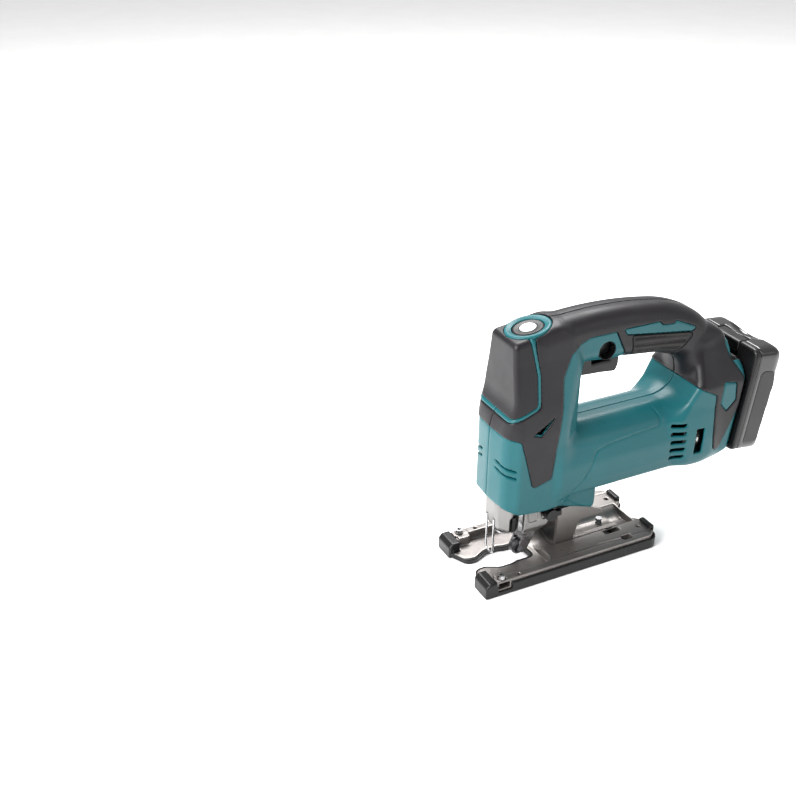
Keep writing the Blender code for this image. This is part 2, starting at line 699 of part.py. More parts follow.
# ---- controls -------------------------------------------------------------------------------
def make_controls():
    ring = cut(oval(RING_RADIUS, -RING_DEPTH, 1.0), oval(BUTTON_RADIUS + RUN, -20, 20))
    finish("button_ring", ring, teal())
    button = join(oval(BUTTON_RADIUS, -RING_DEPTH - 4, 0.2), oval(5, 0, 0.8, 16))
    finish("power_button", button, black())

    notch_top = LOCK_PIN_Z - LOCK_PIN_RADIUS - RUN - TRIGGER_TRAVEL - GAP
    notch_half = LOCK_PIN_RADIUS + 2 * RUN + 1.4
    horn_top = SPRING_HIGH - TRIGGER_TRAVEL
    outline = [(TRIGGER_FRONT, 156, 2), (TRIGGER_FRONT + 22, 154.5, 10), (TRIGGER_REAR - 2, 153, 3),
               (TRIGGER_REAR, 159, 2), (TRIGGER_REAR, notch_top + 3, 1), (LOCK_PIN_X + notch_half, notch_top + 3, 1),
               (LOCK_PIN_X + notch_half, notch_top, 0), (LOCK_PIN_X - notch_half, notch_top, 0),
               (LOCK_PIN_X - notch_half, horn_top, 1), (TRIGGER_FRONT, horn_top, 1)]
    trigger = bevel(prism(rounded(outline), -TRIGGER_HALF, TRIGGER_HALF, "side"), 1.6)
    cut(trigger, rod((SPRING_X, 0, SPRING_LOW - GAP), (SPRING_X, 0, 190), SPRING_RADIUS + 1, 16))
    finish("trigger", trigger, black())
    turns = 4
    coil = []
    for step in range(turns * 8 + 1):
        angle = 2 * math.pi * step / 8
        height = SPRING_LOW + SPRING_WIRE + (SPRING_HIGH - SPRING_LOW - 2 * SPRING_WIRE) * step / (turns * 8)
        coil.append((SPRING_X + SPRING_RADIUS * math.cos(angle), SPRING_RADIUS * math.sin(angle), height))
    finish("trigger_spring", wire(coil, SPRING_WIRE, "coil"), steel())

    pin = rod((LOCK_PIN_X, -GRIP_HALF + 7, LOCK_PIN_Z), (LOCK_PIN_X, GRIP_HALF + 5, LOCK_PIN_Z), LOCK_PIN_RADIUS)
    finish("lock_pin", pin, black())

    switch = box((TRIGGER_REAR + 3, -9, LOCK_PIN_Z - 4), (TRIGGER_REAR + 30, 9, LOCK_PIN_Z + 12))
    finish("switch_body", bevel(switch, 1.0), black())

    dial = rod((DIAL_X - DIAL_WIDTH / 2, DIAL_Y, DIAL_Z), (DIAL_X + DIAL_WIDTH / 2, DIAL_Y, DIAL_Z), DIAL_RADIUS, 28)
    cut(dial, rod((DIAL_X - 9, DIAL_Y, DIAL_Z), (DIAL_X + 9, DIAL_Y, DIAL_Z), 2.3, 16))
    finish("speed_dial", dial, black())
    body = box((DIAL_X - DIAL_WIDTH / 2 - 6, DIAL_Y - 6, DIAL_Z - 6), (DIAL_X - DIAL_WIDTH / 2 - RUN, DIAL_Y + 6, DIAL_Z + 6))
    join(body, rod((DIAL_X - 5, DIAL_Y, DIAL_Z), (DIAL_X + DIAL_WIDTH / 2, DIAL_Y, DIAL_Z), 2.0, 16))
    finish("dial_potentiometer", body, black())

    board = box((161, -10, 72), (DIAL_X - DIAL_WIDTH / 2 - 7, 20, 106))
    finish("controller", bevel(board, 1.0), black())
    terminals = join(box((196, -20, 84), (204, 20, 128)), box((203, -16, 90), (206, -10, 122)),
                     box((203, 10, 90), (206, 16, 122)))
    finish("battery_terminals", terminals, black())


# ---- motor and drive ------------------------------------------------------------------------
def make_motor():
    stator = tube((STATOR_FRONT, 0, MOTOR_Z), (STATOR_FRONT + STATOR_LENGTH, 0, MOTOR_Z), STATOR_RADIUS, STATOR_BORE, 32)
    for index in range(6):
        angle = math.pi * index / 3
        centre = (0, 19.0 * math.cos(angle), MOTOR_Z + 19.0 * math.sin(angle))
        for x in (STATOR_FRONT - 4, STATOR_FRONT + STATOR_LENGTH - 1):
            coil = rod((x, centre[1], centre[2]), (x + 5, centre[1], centre[2]), 3.4, 6)
            join(stator, coil)
    finish("motor_stator", stator, copper())

    shaft = rod((GEAR_FRONT - 1, 0, MOTOR_Z), (REAR_BEARING_X + BEARING_LENGTH, 0, MOTOR_Z), SHAFT_RADIUS)
    join(shaft, toothed(GEAR_FRONT, GEAR_FRONT + GEAR_WIDTH, MOTOR_Z, PINION_TEETH, 0.5))
    join(shaft, rod((STATOR_FRONT + 2, 0, MOTOR_Z), (STATOR_FRONT + STATOR_LENGTH - 2, 0, MOTOR_Z),
                    STATOR_BORE - 0.6, 28))
    finish("rotor", shaft, steel())

    fan = rod((FAN_FRONT, 0, MOTOR_Z), (FAN_FRONT + 1.5, 0, MOTOR_Z), FAN_RADIUS, 32)
    join(fan, rod((FAN_FRONT + 0.7, 0, MOTOR_Z), (FAN_FRONT + FAN_LENGTH, 0, MOTOR_Z), 7.0))
    for index in range(9):
        angle = 2 * math.pi * index / 9
        blade = box((FAN_FRONT + 1, -0.7, MOTOR_Z + 5), (FAN_FRONT + FAN_LENGTH - 0.6, 0.7, MOTOR_Z + FAN_RADIUS - 0.6))
        middle = Vector((0, 0, MOTOR_Z)) * MM
        blade.data.transform(Matrix.Translation(middle) @ Matrix.Rotation(angle, 4, "X") @ Matrix.Translation(-middle))
        join(fan, blade)
    cut(fan, rod((FAN_FRONT - 1, 0, MOTOR_Z), (FAN_FRONT + FAN_LENGTH + 1, 0, MOTOR_Z), SHAFT_RADIUS + GAP))
    finish("cooling_fan", fan, black())

    for name, x, radius in (("front_motor_bearing", FRONT_BEARING_X, FRONT_BEARING_RADIUS),
                            ("rear_motor_bearing", REAR_BEARING_X, REAR_BEARING_RADIUS)):
        ring = tube((x, 0, MOTOR_Z), (x + BEARING_LENGTH, 0, MOTOR_Z), radius, SHAFT_RADIUS + RUN)
        finish(name, ring, steel())


def make_gear_housing():
    """A cast frame that holds the bushes, the front bearing and the gear shaft, with the nose below it."""
    front = FRAME_FRONT
    outline = [(front, FRAME_ROOF, 2), (FRAME_REAR, FRAME_ROOF, 3), (FRAME_REAR, MOTOR_Z + 17, 0),
               (BOSS_REAR, MOTOR_Z + 13, 2), (BOSS_REAR, 68, 4), (NOSE_REAR, 64, 3), (72, 44, 4),
               (60, 27, 4), (44, 28, 4), (33, 37, 4), (24, 39, 3), (HEAD_FRONT + WALL + 2 * GAP, 64, 4), (25, 74, 3),
               (25, 120, 3), (front, 130, 3)]
    frame = prism(rounded(outline), -FRAME_HALF, FRAME_HALF, "side")
    plan = [(x, y, radius) for y, x, radius in mirrored([(6, 21, 3), (FRAME_HALF, 32.5, 3), (FRAME_HALF, 120, 0)])]
    keep(frame, prism(rounded(plan), 0, 200, "plan"))
    window = [(28, BOTTOM_ARM_TOP, 2), (73, BOTTOM_ARM_TOP, 2), (73, TOP_ARM_LOW, 2), (32, TOP_ARM_LOW, 2),
              (28, 126, 2)]
    cut(frame, prism(rounded(window), -40, 40, "side"))
    cut(frame, rod((PLUNGER_X, 0, 60), (PLUNGER_X, 0, 170), BUSH_OUTER + GAP, 28))
    cut(frame, rod((PLUNGER_X, 0, 10), (PLUNGER_X, 0, CLAMP_ROOM_TOP), CLAMP_ROOM, 28))
    cut(frame, box((PLUNGER_X, -CLAMP_ROOM, 10), (50, CLAMP_ROOM, CLAMP_ROOM_TOP)))
    for y in (-GUARD_HALF, GUARD_HALF):
        cut(frame, rod((GUARD_X, y, 20), (GUARD_X, y, GUARD_TOP + GAP), GUARD_WIRE + GAP, 12))
    cut(frame, box((49, -ARM_HALF - 1, 10), (70, ARM_HALF + 1, CLAMP_ROOM_TOP + 1)))
    cut(frame, prism(rounded([(32, 34, 0), (45, 20, 0), (45, 52, 4), (32, 52, 4)]), -40, 40, "side"))
    cut(frame, rod((ARM_PIVOT_X, -40, ARM_PIVOT_Z), (ARM_PIVOT_X, 40, ARM_PIVOT_Z), ARM_PIN_RADIUS + GAP, 16))
    cut(frame, rod((FRONT_BEARING_X - GAP, 0, MOTOR_Z), (100, 0, MOTOR_Z), FRONT_BEARING_RADIUS + GAP))
    cut(frame, rod((70, 0, MOTOR_Z), (100, 0, MOTOR_Z), SHAFT_RADIUS + 1.5))
    cut(frame, rod((70, 0, GEAR_Z), (100, 0, GEAR_Z), GEAR_SHAFT_RADIUS + GAP))
    finish("gear_housing", frame, cast())


def make_drive():
    finish("gear_shaft", rod((GEAR_FRONT - 2, 0, GEAR_Z), (FRAME_REAR - 1, 0, GEAR_Z), GEAR_SHAFT_RADIUS), steel())
    gear = toothed(GEAR_FRONT, GEAR_FRONT + GEAR_WIDTH, GEAR_Z, GEAR_TEETH, 0.0)
    cut(gear, rod((GEAR_FRONT - 5, 0, GEAR_Z), (GEAR_FRONT + 20, 0, GEAR_Z), GEAR_SHAFT_RADIUS + RUN))
    pin_z = GEAR_Z
    pin_y = STROKE / 2
    join(gear, rod((YOKE_REAR + 1.0, pin_y, pin_z), (GEAR_FRONT + 2, pin_y, pin_z), CRANK_PIN_RADIUS, 20))
    finish("crank_gear", gear, steel())

    weight = prism(rounded([(-18, GEAR_Z - 15, 4), (18, GEAR_Z - 15, 4), (18, GEAR_Z + 17, 8), (-18, GEAR_Z + 17, 8)]),
                   WEIGHT_FRONT, WEIGHT_FRONT + 4, "front")
    slot = GEAR_SHAFT_RADIUS + 1
    reach = slot + WEIGHT_TRAVEL
    cut(weight, prism(rounded([(-slot, GEAR_Z - reach, slot - 0.1), (slot, GEAR_Z - reach, slot - 0.1),
                               (slot, GEAR_Z + reach, slot - 0.1), (-slot, GEAR_Z + reach, slot - 0.1)]),
                      WEIGHT_FRONT - 5, WEIGHT_FRONT + 9, "front"))
    finish("counterweight", weight, cast())

    plunger = rod((PLUNGER_X, 0, CLAMP_TOP - 6), (PLUNGER_X, 0, PLUNGER_TOP), PLUNGER_RADIUS)
    join(plunger, box((PLUNGER_X - 2, -YOKE_HALF, GEAR_Z - YOKE_HEIGHT), (YOKE_REAR, YOKE_HALF, GEAR_Z + YOKE_HEIGHT)))
    cut(plunger, box((PLUNGER_X + PLUNGER_RADIUS, -YOKE_HALF + 2.5, GEAR_Z - CRANK_PIN_RADIUS - RUN),
                     (YOKE_REAR + 5, YOKE_HALF - 2.5, GEAR_Z + CRANK_PIN_RADIUS + RUN)))
    finish("plunger", plunger, steel())
    for name, low, high in (("upper_bush", TOP_ARM_LOW, FRAME_ROOF), ("lower_bush", CLAMP_ROOM_TOP + 1, BOTTOM_ARM_TOP)):
        finish(name, tube((PLUNGER_X, 0, low), (PLUNGER_X, 0, high), BUSH_OUTER, PLUNGER_RADIUS + RUN), steel())

    clamp = rod((PLUNGER_X, 0, CLAMP_LOW), (PLUNGER_X, 0, CLAMP_TOP), CLAMP_RADIUS)
    join(clamp, rod((PLUNGER_X, 0, CLAMP_LOW), (PLUNGER_X, 0, CLAMP_LOW + 2), CLAMP_RADIUS + 0.8))
    cut(clamp, rod((PLUNGER_X, 0, CLAMP_TOP - 6 - GAP), (PLUNGER_X, 0, CLAMP_TOP + 5), PLUNGER_RADIUS + GAP))
    cut(clamp, box((PLUNGER_X - 5, -0.9, CLAMP_LOW - 5), (PLUNGER_X + 5, 0.9, CLAMP_TOP - 9)))
    finish("blade_clamp", clamp, steel())
    low = CLAMP_LOW + 2 + RUN
    collar = tube((PLUNGER_X, 0, low), (PLUNGER_X, 0, CLAMP_TOP - 3), CLAMP_RADIUS + RUN + 1.8, CLAMP_RADIUS + RUN)
    for side in (-1, 1):
        reach = CLAMP_RADIUS + RUN + 1
        join(collar, box((PLUNGER_X - 1.5, min(side * reach, side * 11.8), low + 1),
                         (PLUNGER_X + 1.5, max(side * reach, side * 11.8), CLAMP_TOP - 5)))
    finish("clamp_collar", collar, black())


def make_roller():
    roller = tube((ROLLER_X, -ROLLER_WIDTH / 2, ROLLER_Z), (ROLLER_X, ROLLER_WIDTH / 2, ROLLER_Z),
                  ROLLER_RADIUS, ROLLER_PIN_RADIUS + RUN, 24)
    finish("guide_roller", roller, steel())
    reach = ARM_HALF + 1
    finish("roller_pin", rod((ROLLER_X, -reach, ROLLER_Z), (ROLLER_X, reach, ROLLER_Z), ROLLER_PIN_RADIUS, 16), steel())
    outline = [(ROLLER_X - 3.6, ROLLER_Z - 2, 3), (ROLLER_X + 3.8, ROLLER_Z - 4, 3), (ARM_PIVOT_X + 1, 22, 6),
               (ARM_PIVOT_X + 5, ARM_PIVOT_Z, 4), (ARM_PIVOT_X - 1, ARM_PIVOT_Z + 5, 4), (ARM_PIVOT_X - 5, ARM_PIVOT_Z, 4),
               (ROLLER_X + 2.5, 30, 6), (ROLLER_X - 0.5, 17, 2)]
    arm = prism(rounded(outline, 2), -ARM_HALF, ARM_HALF, "side")
    cut(arm, box((ROLLER_X - 10, -ROLLER_WIDTH / 2 - RUN, 0), (ROLLER_X + 30, ROLLER_WIDTH / 2 + RUN, ROLLER_Z + ROLLER_RADIUS + 2)))
    cut(arm, rod((ROLLER_X, -20, ROLLER_Z), (ROLLER_X, 20, ROLLER_Z), ROLLER_PIN_RADIUS + GAP, 16))
    cut(arm, rod((ARM_PIVOT_X, -20, ARM_PIVOT_Z), (ARM_PIVOT_X, 20, ARM_PIVOT_Z), ARM_PIN_RADIUS + RUN, 16))
    finish("roller_arm", arm, steel())
    finish("arm_pivot_pin", rod((ARM_PIVOT_X, -FRAME_HALF + 1, ARM_PIVOT_Z), (ARM_PIVOT_X, FRAME_HALF - 1, ARM_PIVOT_Z),
                                ARM_PIN_RADIUS, 16), steel())
    lever = rod((ORBIT_X, -FRAME_HALF - RUN, ORBIT_Z), (ORBIT_X, -FRAME_HALF - 6, ORBIT_Z), 5.0, 20)
    join(lever, box((ORBIT_X, -FRAME_HALF - 5, ORBIT_Z - 2.2), (ORBIT_X + ORBIT_REACH, -FRAME_HALF - 1.5, ORBIT_Z + 2.2)))
    finish("orbital_lever", lever, black())
    bend = [(GUARD_HALF, 17.0), (GUARD_HALF - 1.2, 14.6), (GUARD_HALF - 3.5, 13.6)]
    half = [(GUARD_HALF, GUARD_TOP)] + bend
    legs = [(GUARD_X, -y, z) for y, z in half] + [(GUARD_X, y, z) for y, z in reversed(half)]
    finish("guard_wire", wire(legs, GUARD_WIRE, "guard"), steel())


# ---- base -----------------------------------------------------------------------------------
def base_outline(inset):
    """Half of the base in plan: (y, x, radius) from the rear middle round to the throat."""
    half = BASE_WIDTH / 2
    corners = [(0.001, THROAT_REAR, 0), (THROAT_REAR_HALF, THROAT_REAR, 5), (THROAT_REAR_HALF, 44, 3),
               (THROAT_HALF, 40, 4), (THROAT_HALF, 28, 6),
               (NECK_HALF, 18, 6), (NECK_HALF, 9, 7), (half - CAP_WIDTH + 2, 1.5, 4), (half - CAP_WIDTH, 0, 2), (half, 0, 2),
               (half, BASE_LENGTH, 9), (14, BASE_LENGTH, 4), (9, BASE_LENGTH - 6, 4), (0.001, BASE_LENGTH - 6, 0)]
    closed = mirrored(corners)
    return [(x, y, radius) for y, x, radius in grown(closed, -inset)]


def make_base():
    half = BASE_WIDTH / 2
    plate = prism(rounded(base_outline(COVER_WALL + GAP)), COVER_FLOOR + GAP, BASE_TOP, "plan")
    inner = half - RAIL_WIDTH
    cut(plate, prism(rounded([(-5, -inner, 0), (THROAT_REAR + 6, -inner, 8), (THROAT_REAR + 6, inner, 8), (-5, inner, 0)]),
                     BASE_FLOOR, 30, "plan"))
    cut(plate, rod((-10, 0, BEVEL_Z), (BASE_LENGTH - 9, 0, BEVEL_Z), CRADLE_RADIUS, 48))
    cap = half - CAP_WIDTH - GAP
    for side in (-1, 1):
        low, high = sorted((side * cap, side * 50))
        cut(plate, box((-5, low, 0), (CAP_LENGTH + GAP, high, 30)))
        low, high = sorted((side * (inner - 4), side * 50))
        cut(plate, box((CAP_LENGTH + 2, low, BASE_TOP - 2 - RULE_SLOT_HEIGHT),
                       (CAP_LENGTH + 2 + RULE_SLOT_LENGTH, high, BASE_TOP - 2)))
        cut(plate, rod((RULE_SCREW_X, side * RULE_SCREW_Y, BASE_TOP - 3), (RULE_SCREW_X, side * RULE_SCREW_Y, 20),
                       RULE_SCREW_RADIUS + GAP, 16))
        cut(plate, rod((151, side * 22, 6), (151, side * 22, 20), 1.6, 12))
        cut(plate, rod((31, side * (half - 5), 9), (31, side * (half - 5), 20), 1.4, 12))
    cut(plate, box((130, -33, 5), (138.5, -27, 20)))
    cut(plate, cut(rod((BOLT_X - 7, 0, BEVEL_Z), (BOLT_X + 7, 0, BEVEL_Z), BOLT_ROOM, 48),
                   rod((BOLT_X - 8, 0, BEVEL_Z), (BOLT_X + 8, 0, BEVEL_Z), CRADLE_RADIUS + STRIP, 48)))
    sweep = mirrored([(19, 0, 0), (19, 7, 0), (13.8, 12.2, 0), (13.8, 30, 0)])
    cut(plate, prism(rounded(sweep), BOLT_X - BOLT_RADIUS - GAP, BOLT_X + BOLT_RADIUS + GAP, "front"))
    finish("base_plate", plate, cast())

    cover = prism(rounded(base_outline(0)), 0, COVER_HEIGHT, "plan")
    cut(cover, prism(rounded(base_outline(COVER_WALL)), COVER_FLOOR, 30, "plan"))
    for side in (-1, 1):
        low, high = sorted((side * (half - CAP_WIDTH), side * half))
        nose = [(0, 0, 0), (CAP_LENGTH, 0, 0), (CAP_LENGTH, BASE_TOP + 0.8, 1), (3, BASE_TOP + 0.8, 2), (0, BASE_TOP - 2, 2)]
        join(cover, prism(rounded(nose, 2), low, high, "side"))
        low, high = sorted((side * (inner - 4), side * 50))
        cut(cover, box((CAP_LENGTH + 1, low, BASE_TOP - 3 - RULE_SLOT_HEIGHT), (CAP_LENGTH + 3 + RULE_SLOT_LENGTH, high, 30)))
        low, high = sorted((side * 16, side * 30))
        hook = [(BASE_LENGTH - 5, BASE_TOP + GAP, 0), (BASE_LENGTH - 5, BASE_TOP + 3, 1), (BASE_LENGTH, BASE_TOP + 3, 1),
                (BASE_LENGTH, COVER_HEIGHT - 3, 0), (BASE_LENGTH - COVER_WALL, COVER_HEIGHT - 3, 0),
                (BASE_LENGTH - COVER_WALL, BASE_TOP + GAP, 0)]
        join(cover, prism(rounded(hook, 1), low, high, "side"))
    cut(cover, rod((BOLT_X - 7, 0, BEVEL_Z), (BOLT_X + 7, 0, BEVEL_Z), BOLT_ROOM, 48))
    cut(cover, box((CAP_LENGTH + GAP, -inner + 4, COVER_FLOOR + 2), (THROAT_REAR + 4, inner - 4, 30)),
        box((-5, -cap + 1, COVER_FLOOR + 2), (CAP_LENGTH + 1, cap - 1, 30)))
    finish("base_cover", cover, black())

    for name, side in (("left_rule_screw", -1), ("right_rule_screw", 1)):
        screw = rod((RULE_SCREW_X, side * RULE_SCREW_Y, BASE_TOP - 1.6), (RULE_SCREW_X, side * RULE_SCREW_Y, BASE_TOP + 3.5),
                    RULE_SCREW_RADIUS, 16)
        cut(screw, rod((RULE_SCREW_X, side * RULE_SCREW_Y, BASE_TOP + 1), (RULE_SCREW_X, side * RULE_SCREW_Y, 30), 1.6, 6))
        finish(name, screw, steel())


def make_bracket():
    """A curved foot in the cradle, with two walls up to the housing's lobe."""
    outer = CRADLE_RADIUS - GAP
    inner = outer - BRACKET_WALL
    foot = rod((BRACKET_FRONT + 0.7, 0, BEVEL_Z), (FOOT_REAR, 0, BEVEL_Z), outer, 48)
    cut(foot, box((0, -40, BASE_TOP), (300, 40, 60)))
    side = [(BRACKET_FRONT, BASE_TOP - 0.5, 0), (94, BASE_TOP - 0.5, 1), (99, 28, 3), (BRACKET_REAR, 28, 1),
            (BRACKET_REAR - 1, 31, 2), (104, 40, 3), (98, 44 - GAP, 0), (80, 44 - GAP, 3), (BRACKET_FRONT, 40, 3)]
    shape = prism(rounded(side), -BRACKET_HALF, BRACKET_HALF, "side")
    cut(shape, lobe_form(GAP))
    join(foot, shape)
    hollow = rod((BRACKET_FRONT - 5, 0, BEVEL_Z), (FOOT_REAR + 5, 0, BEVEL_Z), inner, 48)
    cut(hollow, box((0, -40, BASE_TOP + 0.5), (300, 40, 60)))
    side_room = BRACKET_HALF - BRACKET_WALL
    join(hollow, box((BRACKET_FRONT - 6, -side_room, BASE_TOP - 0.3), (FOOT_REAR + 6, side_room, 39)))
    cut(foot, hollow)
    cut(foot, rod((BOLT_X, 0, 0), (BOLT_X, 0, 30), BOLT_RADIUS + GAP, 16))
    finish("bevel_bracket", foot, cast())

    head_top = BEVEL_Z - CRADLE_RADIUS - STRIP - GAP
    bolt = rod((BOLT_X, 0, head_top), (BOLT_X, 0, BEVEL_Z - inner + 5.0), BOLT_RADIUS, 16)
    join(bolt, rod((BOLT_X, 0, head_top - BOLT_HEAD), (BOLT_X, 0, head_top), BOLT_HEAD_RADIUS, 16))
    cut(bolt, rod((BOLT_X, 0, head_top - BOLT_HEAD - 1), (BOLT_X, 0, head_top - 0.6), 1.8, 6))
    finish("base_bolt", bolt, steel())


# ---- battery --------------------------------------------------------------------------------
def make_battery():
    half = BATTERY_WIDTH / 2
    outline = [(GAP, -4, 3), (BATTERY_DEPTH, -4, 8), (BATTERY_DEPTH, BATTERY_HEIGHT - BATTERY_SHOULDER + 3.4, 10),
               (BATTERY_DEPTH - 8, BATTERY_HEIGHT - 2, 8), (GAP, BATTERY_HEIGHT - 4, 3)]
    slab = bevel(battery_prism(outline, -half, half), 3.5, 2, 60)
    join(slab, battery_block((-4, -RAIL_HALF + 4, 0), (2, RAIL_HALF - 4, RAIL_HEIGHT)),
         battery_block((-RAIL_DEPTH, -RAIL_HALF, 0), (-4, RAIL_HALF, RAIL_HEIGHT)))
    room = battery_block((-RAIL_DEPTH + 2, -RAIL_HALF + 7, 3), (8, RAIL_HALF - 7, RAIL_HEIGHT - 4))
    join(room, battery_block((4, -half + 3, 0), (BATTERY_DEPTH - CASE_WALL, half - 3, BATTERY_HEIGHT - 20)))
    notch = battery_block((-1, -LATCH_HALF - RUN, BATTERY_HEIGHT - NOTCH_DEPTH), (NOTCH_REAR, LATCH_HALF + RUN, BATTERY_HEIGHT + 9))
    cut(slab, room, notch)
    seam = battery_block((6, -60, -30), (6 + GAP, 60, BATTERY_HEIGHT + 20))
    cut(slab, seam)
    rear = keep(copy_of(slab), battery_block((6.1, -60, -30), (60, 60, 140)))
    keep(slab, battery_block((-30, -60, -30), (6.1, 60, 140)))
    finish("battery_case", rear, black())
    finish("battery_lid", slab, black())
    cells = battery_block((4 + GAP, -half + 5, 1.5), (BATTERY_DEPTH - CASE_WALL - GAP, half - 5, BATTERY_HEIGHT - 21.5))
    finish("cell_pack", bevel(cells, 2.0), material("cell_wrap", (0.1, 0.2, 0.5), 0.4))
    low = BATTERY_HEIGHT - NOTCH_DEPTH + LATCH_TRAVEL + GAP
    tip = [(GAP + 0.2, low, 0), (NOTCH_REAR - RUN, low, 0), (NOTCH_REAR - RUN, BATTERY_HEIGHT - 3, 3),
           (GAP + 0.2, BATTERY_HEIGHT - 5, 3)]
    finish("battery_latch", battery_prism(tip, -LATCH_HALF, LATCH_HALF), black())


def main():
    clear_scene()
    make_housing()
    make_screws()
    make_skins()
    make_controls()
    make_motor()
    make_gear_housing()
    make_drive()
    make_roller()
    make_base()
    make_bracket()
    make_battery()


main()
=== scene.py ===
"""Looks of the cordless jigsaw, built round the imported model.

Sizes are in millimetres.  x is measured back from the base's front edge, y is across the tool (its left
side is negative) and z is up.  Shells, pads and castings are solids described by distance fields: an outline
in the side view, the plan and the front view each give a distance, and rounded unions, intersections and
cuts join them.  openvdb turns each field into a smooth mesh.
"""
import json
import math

import bmesh
import bpy
import numpy as np
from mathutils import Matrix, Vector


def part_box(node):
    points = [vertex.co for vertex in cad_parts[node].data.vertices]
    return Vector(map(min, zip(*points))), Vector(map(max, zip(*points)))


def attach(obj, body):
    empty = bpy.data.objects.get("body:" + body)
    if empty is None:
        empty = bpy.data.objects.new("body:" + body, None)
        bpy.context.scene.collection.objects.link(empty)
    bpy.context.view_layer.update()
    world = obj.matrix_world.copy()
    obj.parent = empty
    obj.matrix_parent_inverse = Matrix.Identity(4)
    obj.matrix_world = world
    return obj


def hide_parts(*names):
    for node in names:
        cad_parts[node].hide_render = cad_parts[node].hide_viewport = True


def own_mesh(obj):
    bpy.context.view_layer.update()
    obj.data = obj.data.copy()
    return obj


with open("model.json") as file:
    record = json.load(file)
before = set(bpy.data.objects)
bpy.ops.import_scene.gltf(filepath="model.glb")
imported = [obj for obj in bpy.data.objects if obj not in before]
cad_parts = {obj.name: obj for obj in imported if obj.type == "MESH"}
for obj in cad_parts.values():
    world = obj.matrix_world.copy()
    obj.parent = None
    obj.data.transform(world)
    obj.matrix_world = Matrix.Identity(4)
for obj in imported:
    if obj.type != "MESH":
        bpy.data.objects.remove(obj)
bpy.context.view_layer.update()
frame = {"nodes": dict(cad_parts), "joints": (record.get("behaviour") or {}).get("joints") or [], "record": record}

import openvdb
from mathutils import Matrix, Vector

MM = 0.001
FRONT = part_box("base_cover")[0][0] / MM      # the base's front edge in the frame

# ---- fineness -------------------------------------------------------------------------------
SHELL_CELL = 0.7
MEDIUM_CELL = 0.6
FINE_CELL = 0.5
DIAL_CELL = 0.4

# ---- places taken from the frame ------------------------------------------------------------
JOINT = {joint["name"]: joint for joint in frame["joints"]}


def low(node, axis):
    """A node's lowest coordinate along x, y or z (0, 1, 2), in millimetres of this script."""
    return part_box(node)[0][axis] / MM - (FRONT if axis == 0 else 0.0)


def high(node, axis):
    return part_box(node)[1][axis] / MM - (FRONT if axis == 0 else 0.0)


def middle(node, axis):
    return (low(node, axis) + high(node, axis)) / 2


MOTOR_Z = middle("rotor", 2)
BASE_LENGTH = high("base_plate", 0) + 1.8
BASE_HALF = high("base_cover", 1)
BASE_TOP = high("base_plate", 2)
BEVEL_Z = 21.5
CRADLE_RADIUS = 16.5
BOLT_X = 128.0
BOLT_ROOM = 22.5         # radius swept by the bevel bolt's head, about the bevel axis
HEAD_FRONT = 18.0
HEAD_HALF = 28.0         # half the head's width
GRIP_HALF = 16.0         # half the handle's width
MOTOR_HALF = 30.0        # half the barrel's width
REAR_HALF = 33.0
COLUMN_REAR = 84.0
HANDLE_TOP = high("left_overmould", 2) - 1.2
PAD_PROUD = 0.9          # pads stand out of the shells by this
PAD_SUNK = 1.3           # and are let in by this
WALL = 2.8
LEAN = math.radians(7.0)
FOOT_X = 223.8           # the battery's mounting plane crosses this point
FOOT_Z = 74.0
RAIL_HALF = 24.0
BATTERY_HALF = high("battery_case", 1)
BATTERY_DEPTH = 31.0
BUTTON_TILT = math.radians(11.0)
BUTTON_X = 46.5
BUTTON_Z = 201.0
OVAL = 1.15
RING_RADIUS = 15.5
BUTTON_RADIUS = 10.5
RING_DEPTH = 5.3         # the ring's seat below its rim
LOCK_X = middle("lock_pin", 0)
LOCK_Z = middle("lock_pin", 2)
LOCK_RADIUS = (high("lock_pin", 2) - low("lock_pin", 2)) / 2
TRIGGER_TRAVEL = JOINT["trigger_press"]["range_m"][1] / MM
SPRING_X = 93.0
SPRING_ROOM = 3.6        # radius of the well in the trigger for its spring
SPRING_SEAT = 157.7
PLUNGER_X = 38.0
CLAMP_ROOM = 12.3        # radius of the room round the blade clamp
GUARD_X = 24.2
GAP = 0.3
DIAL_X = middle("speed_dial", 0)
DIAL_Y = middle("speed_dial", 1)
DIAL_Z = middle("speed_dial", 2)


# ---- outlines -------------------------------------------------------------------------------
def rounded(corners, steps=6):
    """Fillet a closed outline given as (a, b, radius) corners."""
    points = []
    count = len(corners)
    for index, (a, b, radius) in enumerate(corners):
        here = Vector((a, b))
        if radius <= 0:
            points.append((a, b))
            continue
        before = Vector(corners[index - 1][:2]) - here
        after = Vector(corners[(index + 1) % count][:2]) - here
        half = before.angle(after) / 2
        reach = min(radius / math.tan(half), 0.49 * before.length, 0.49 * after.length)
        radius = reach * math.tan(half)
        start = here + before.normalized() * reach
        end = here + after.normalized() * reach
        centre = here + (before.normalized() + after.normalized()).normalized() * radius / math.sin(half)
        for step in range(steps + 1):
            spot = start.lerp(end, step / steps) - centre
            points.append(tuple(centre + spot.normalized() * radius))
    return points


def mirrored(corners):
    """An outline's right half with its mirror image, across a = 0."""
    return corners + [(-a, b, radius) for a, b, radius in reversed(corners)]


def turned_over(corners):
    """Swap the two coordinates of an outline's corners."""
    return [(b, a, radius) for a, b, radius in corners]


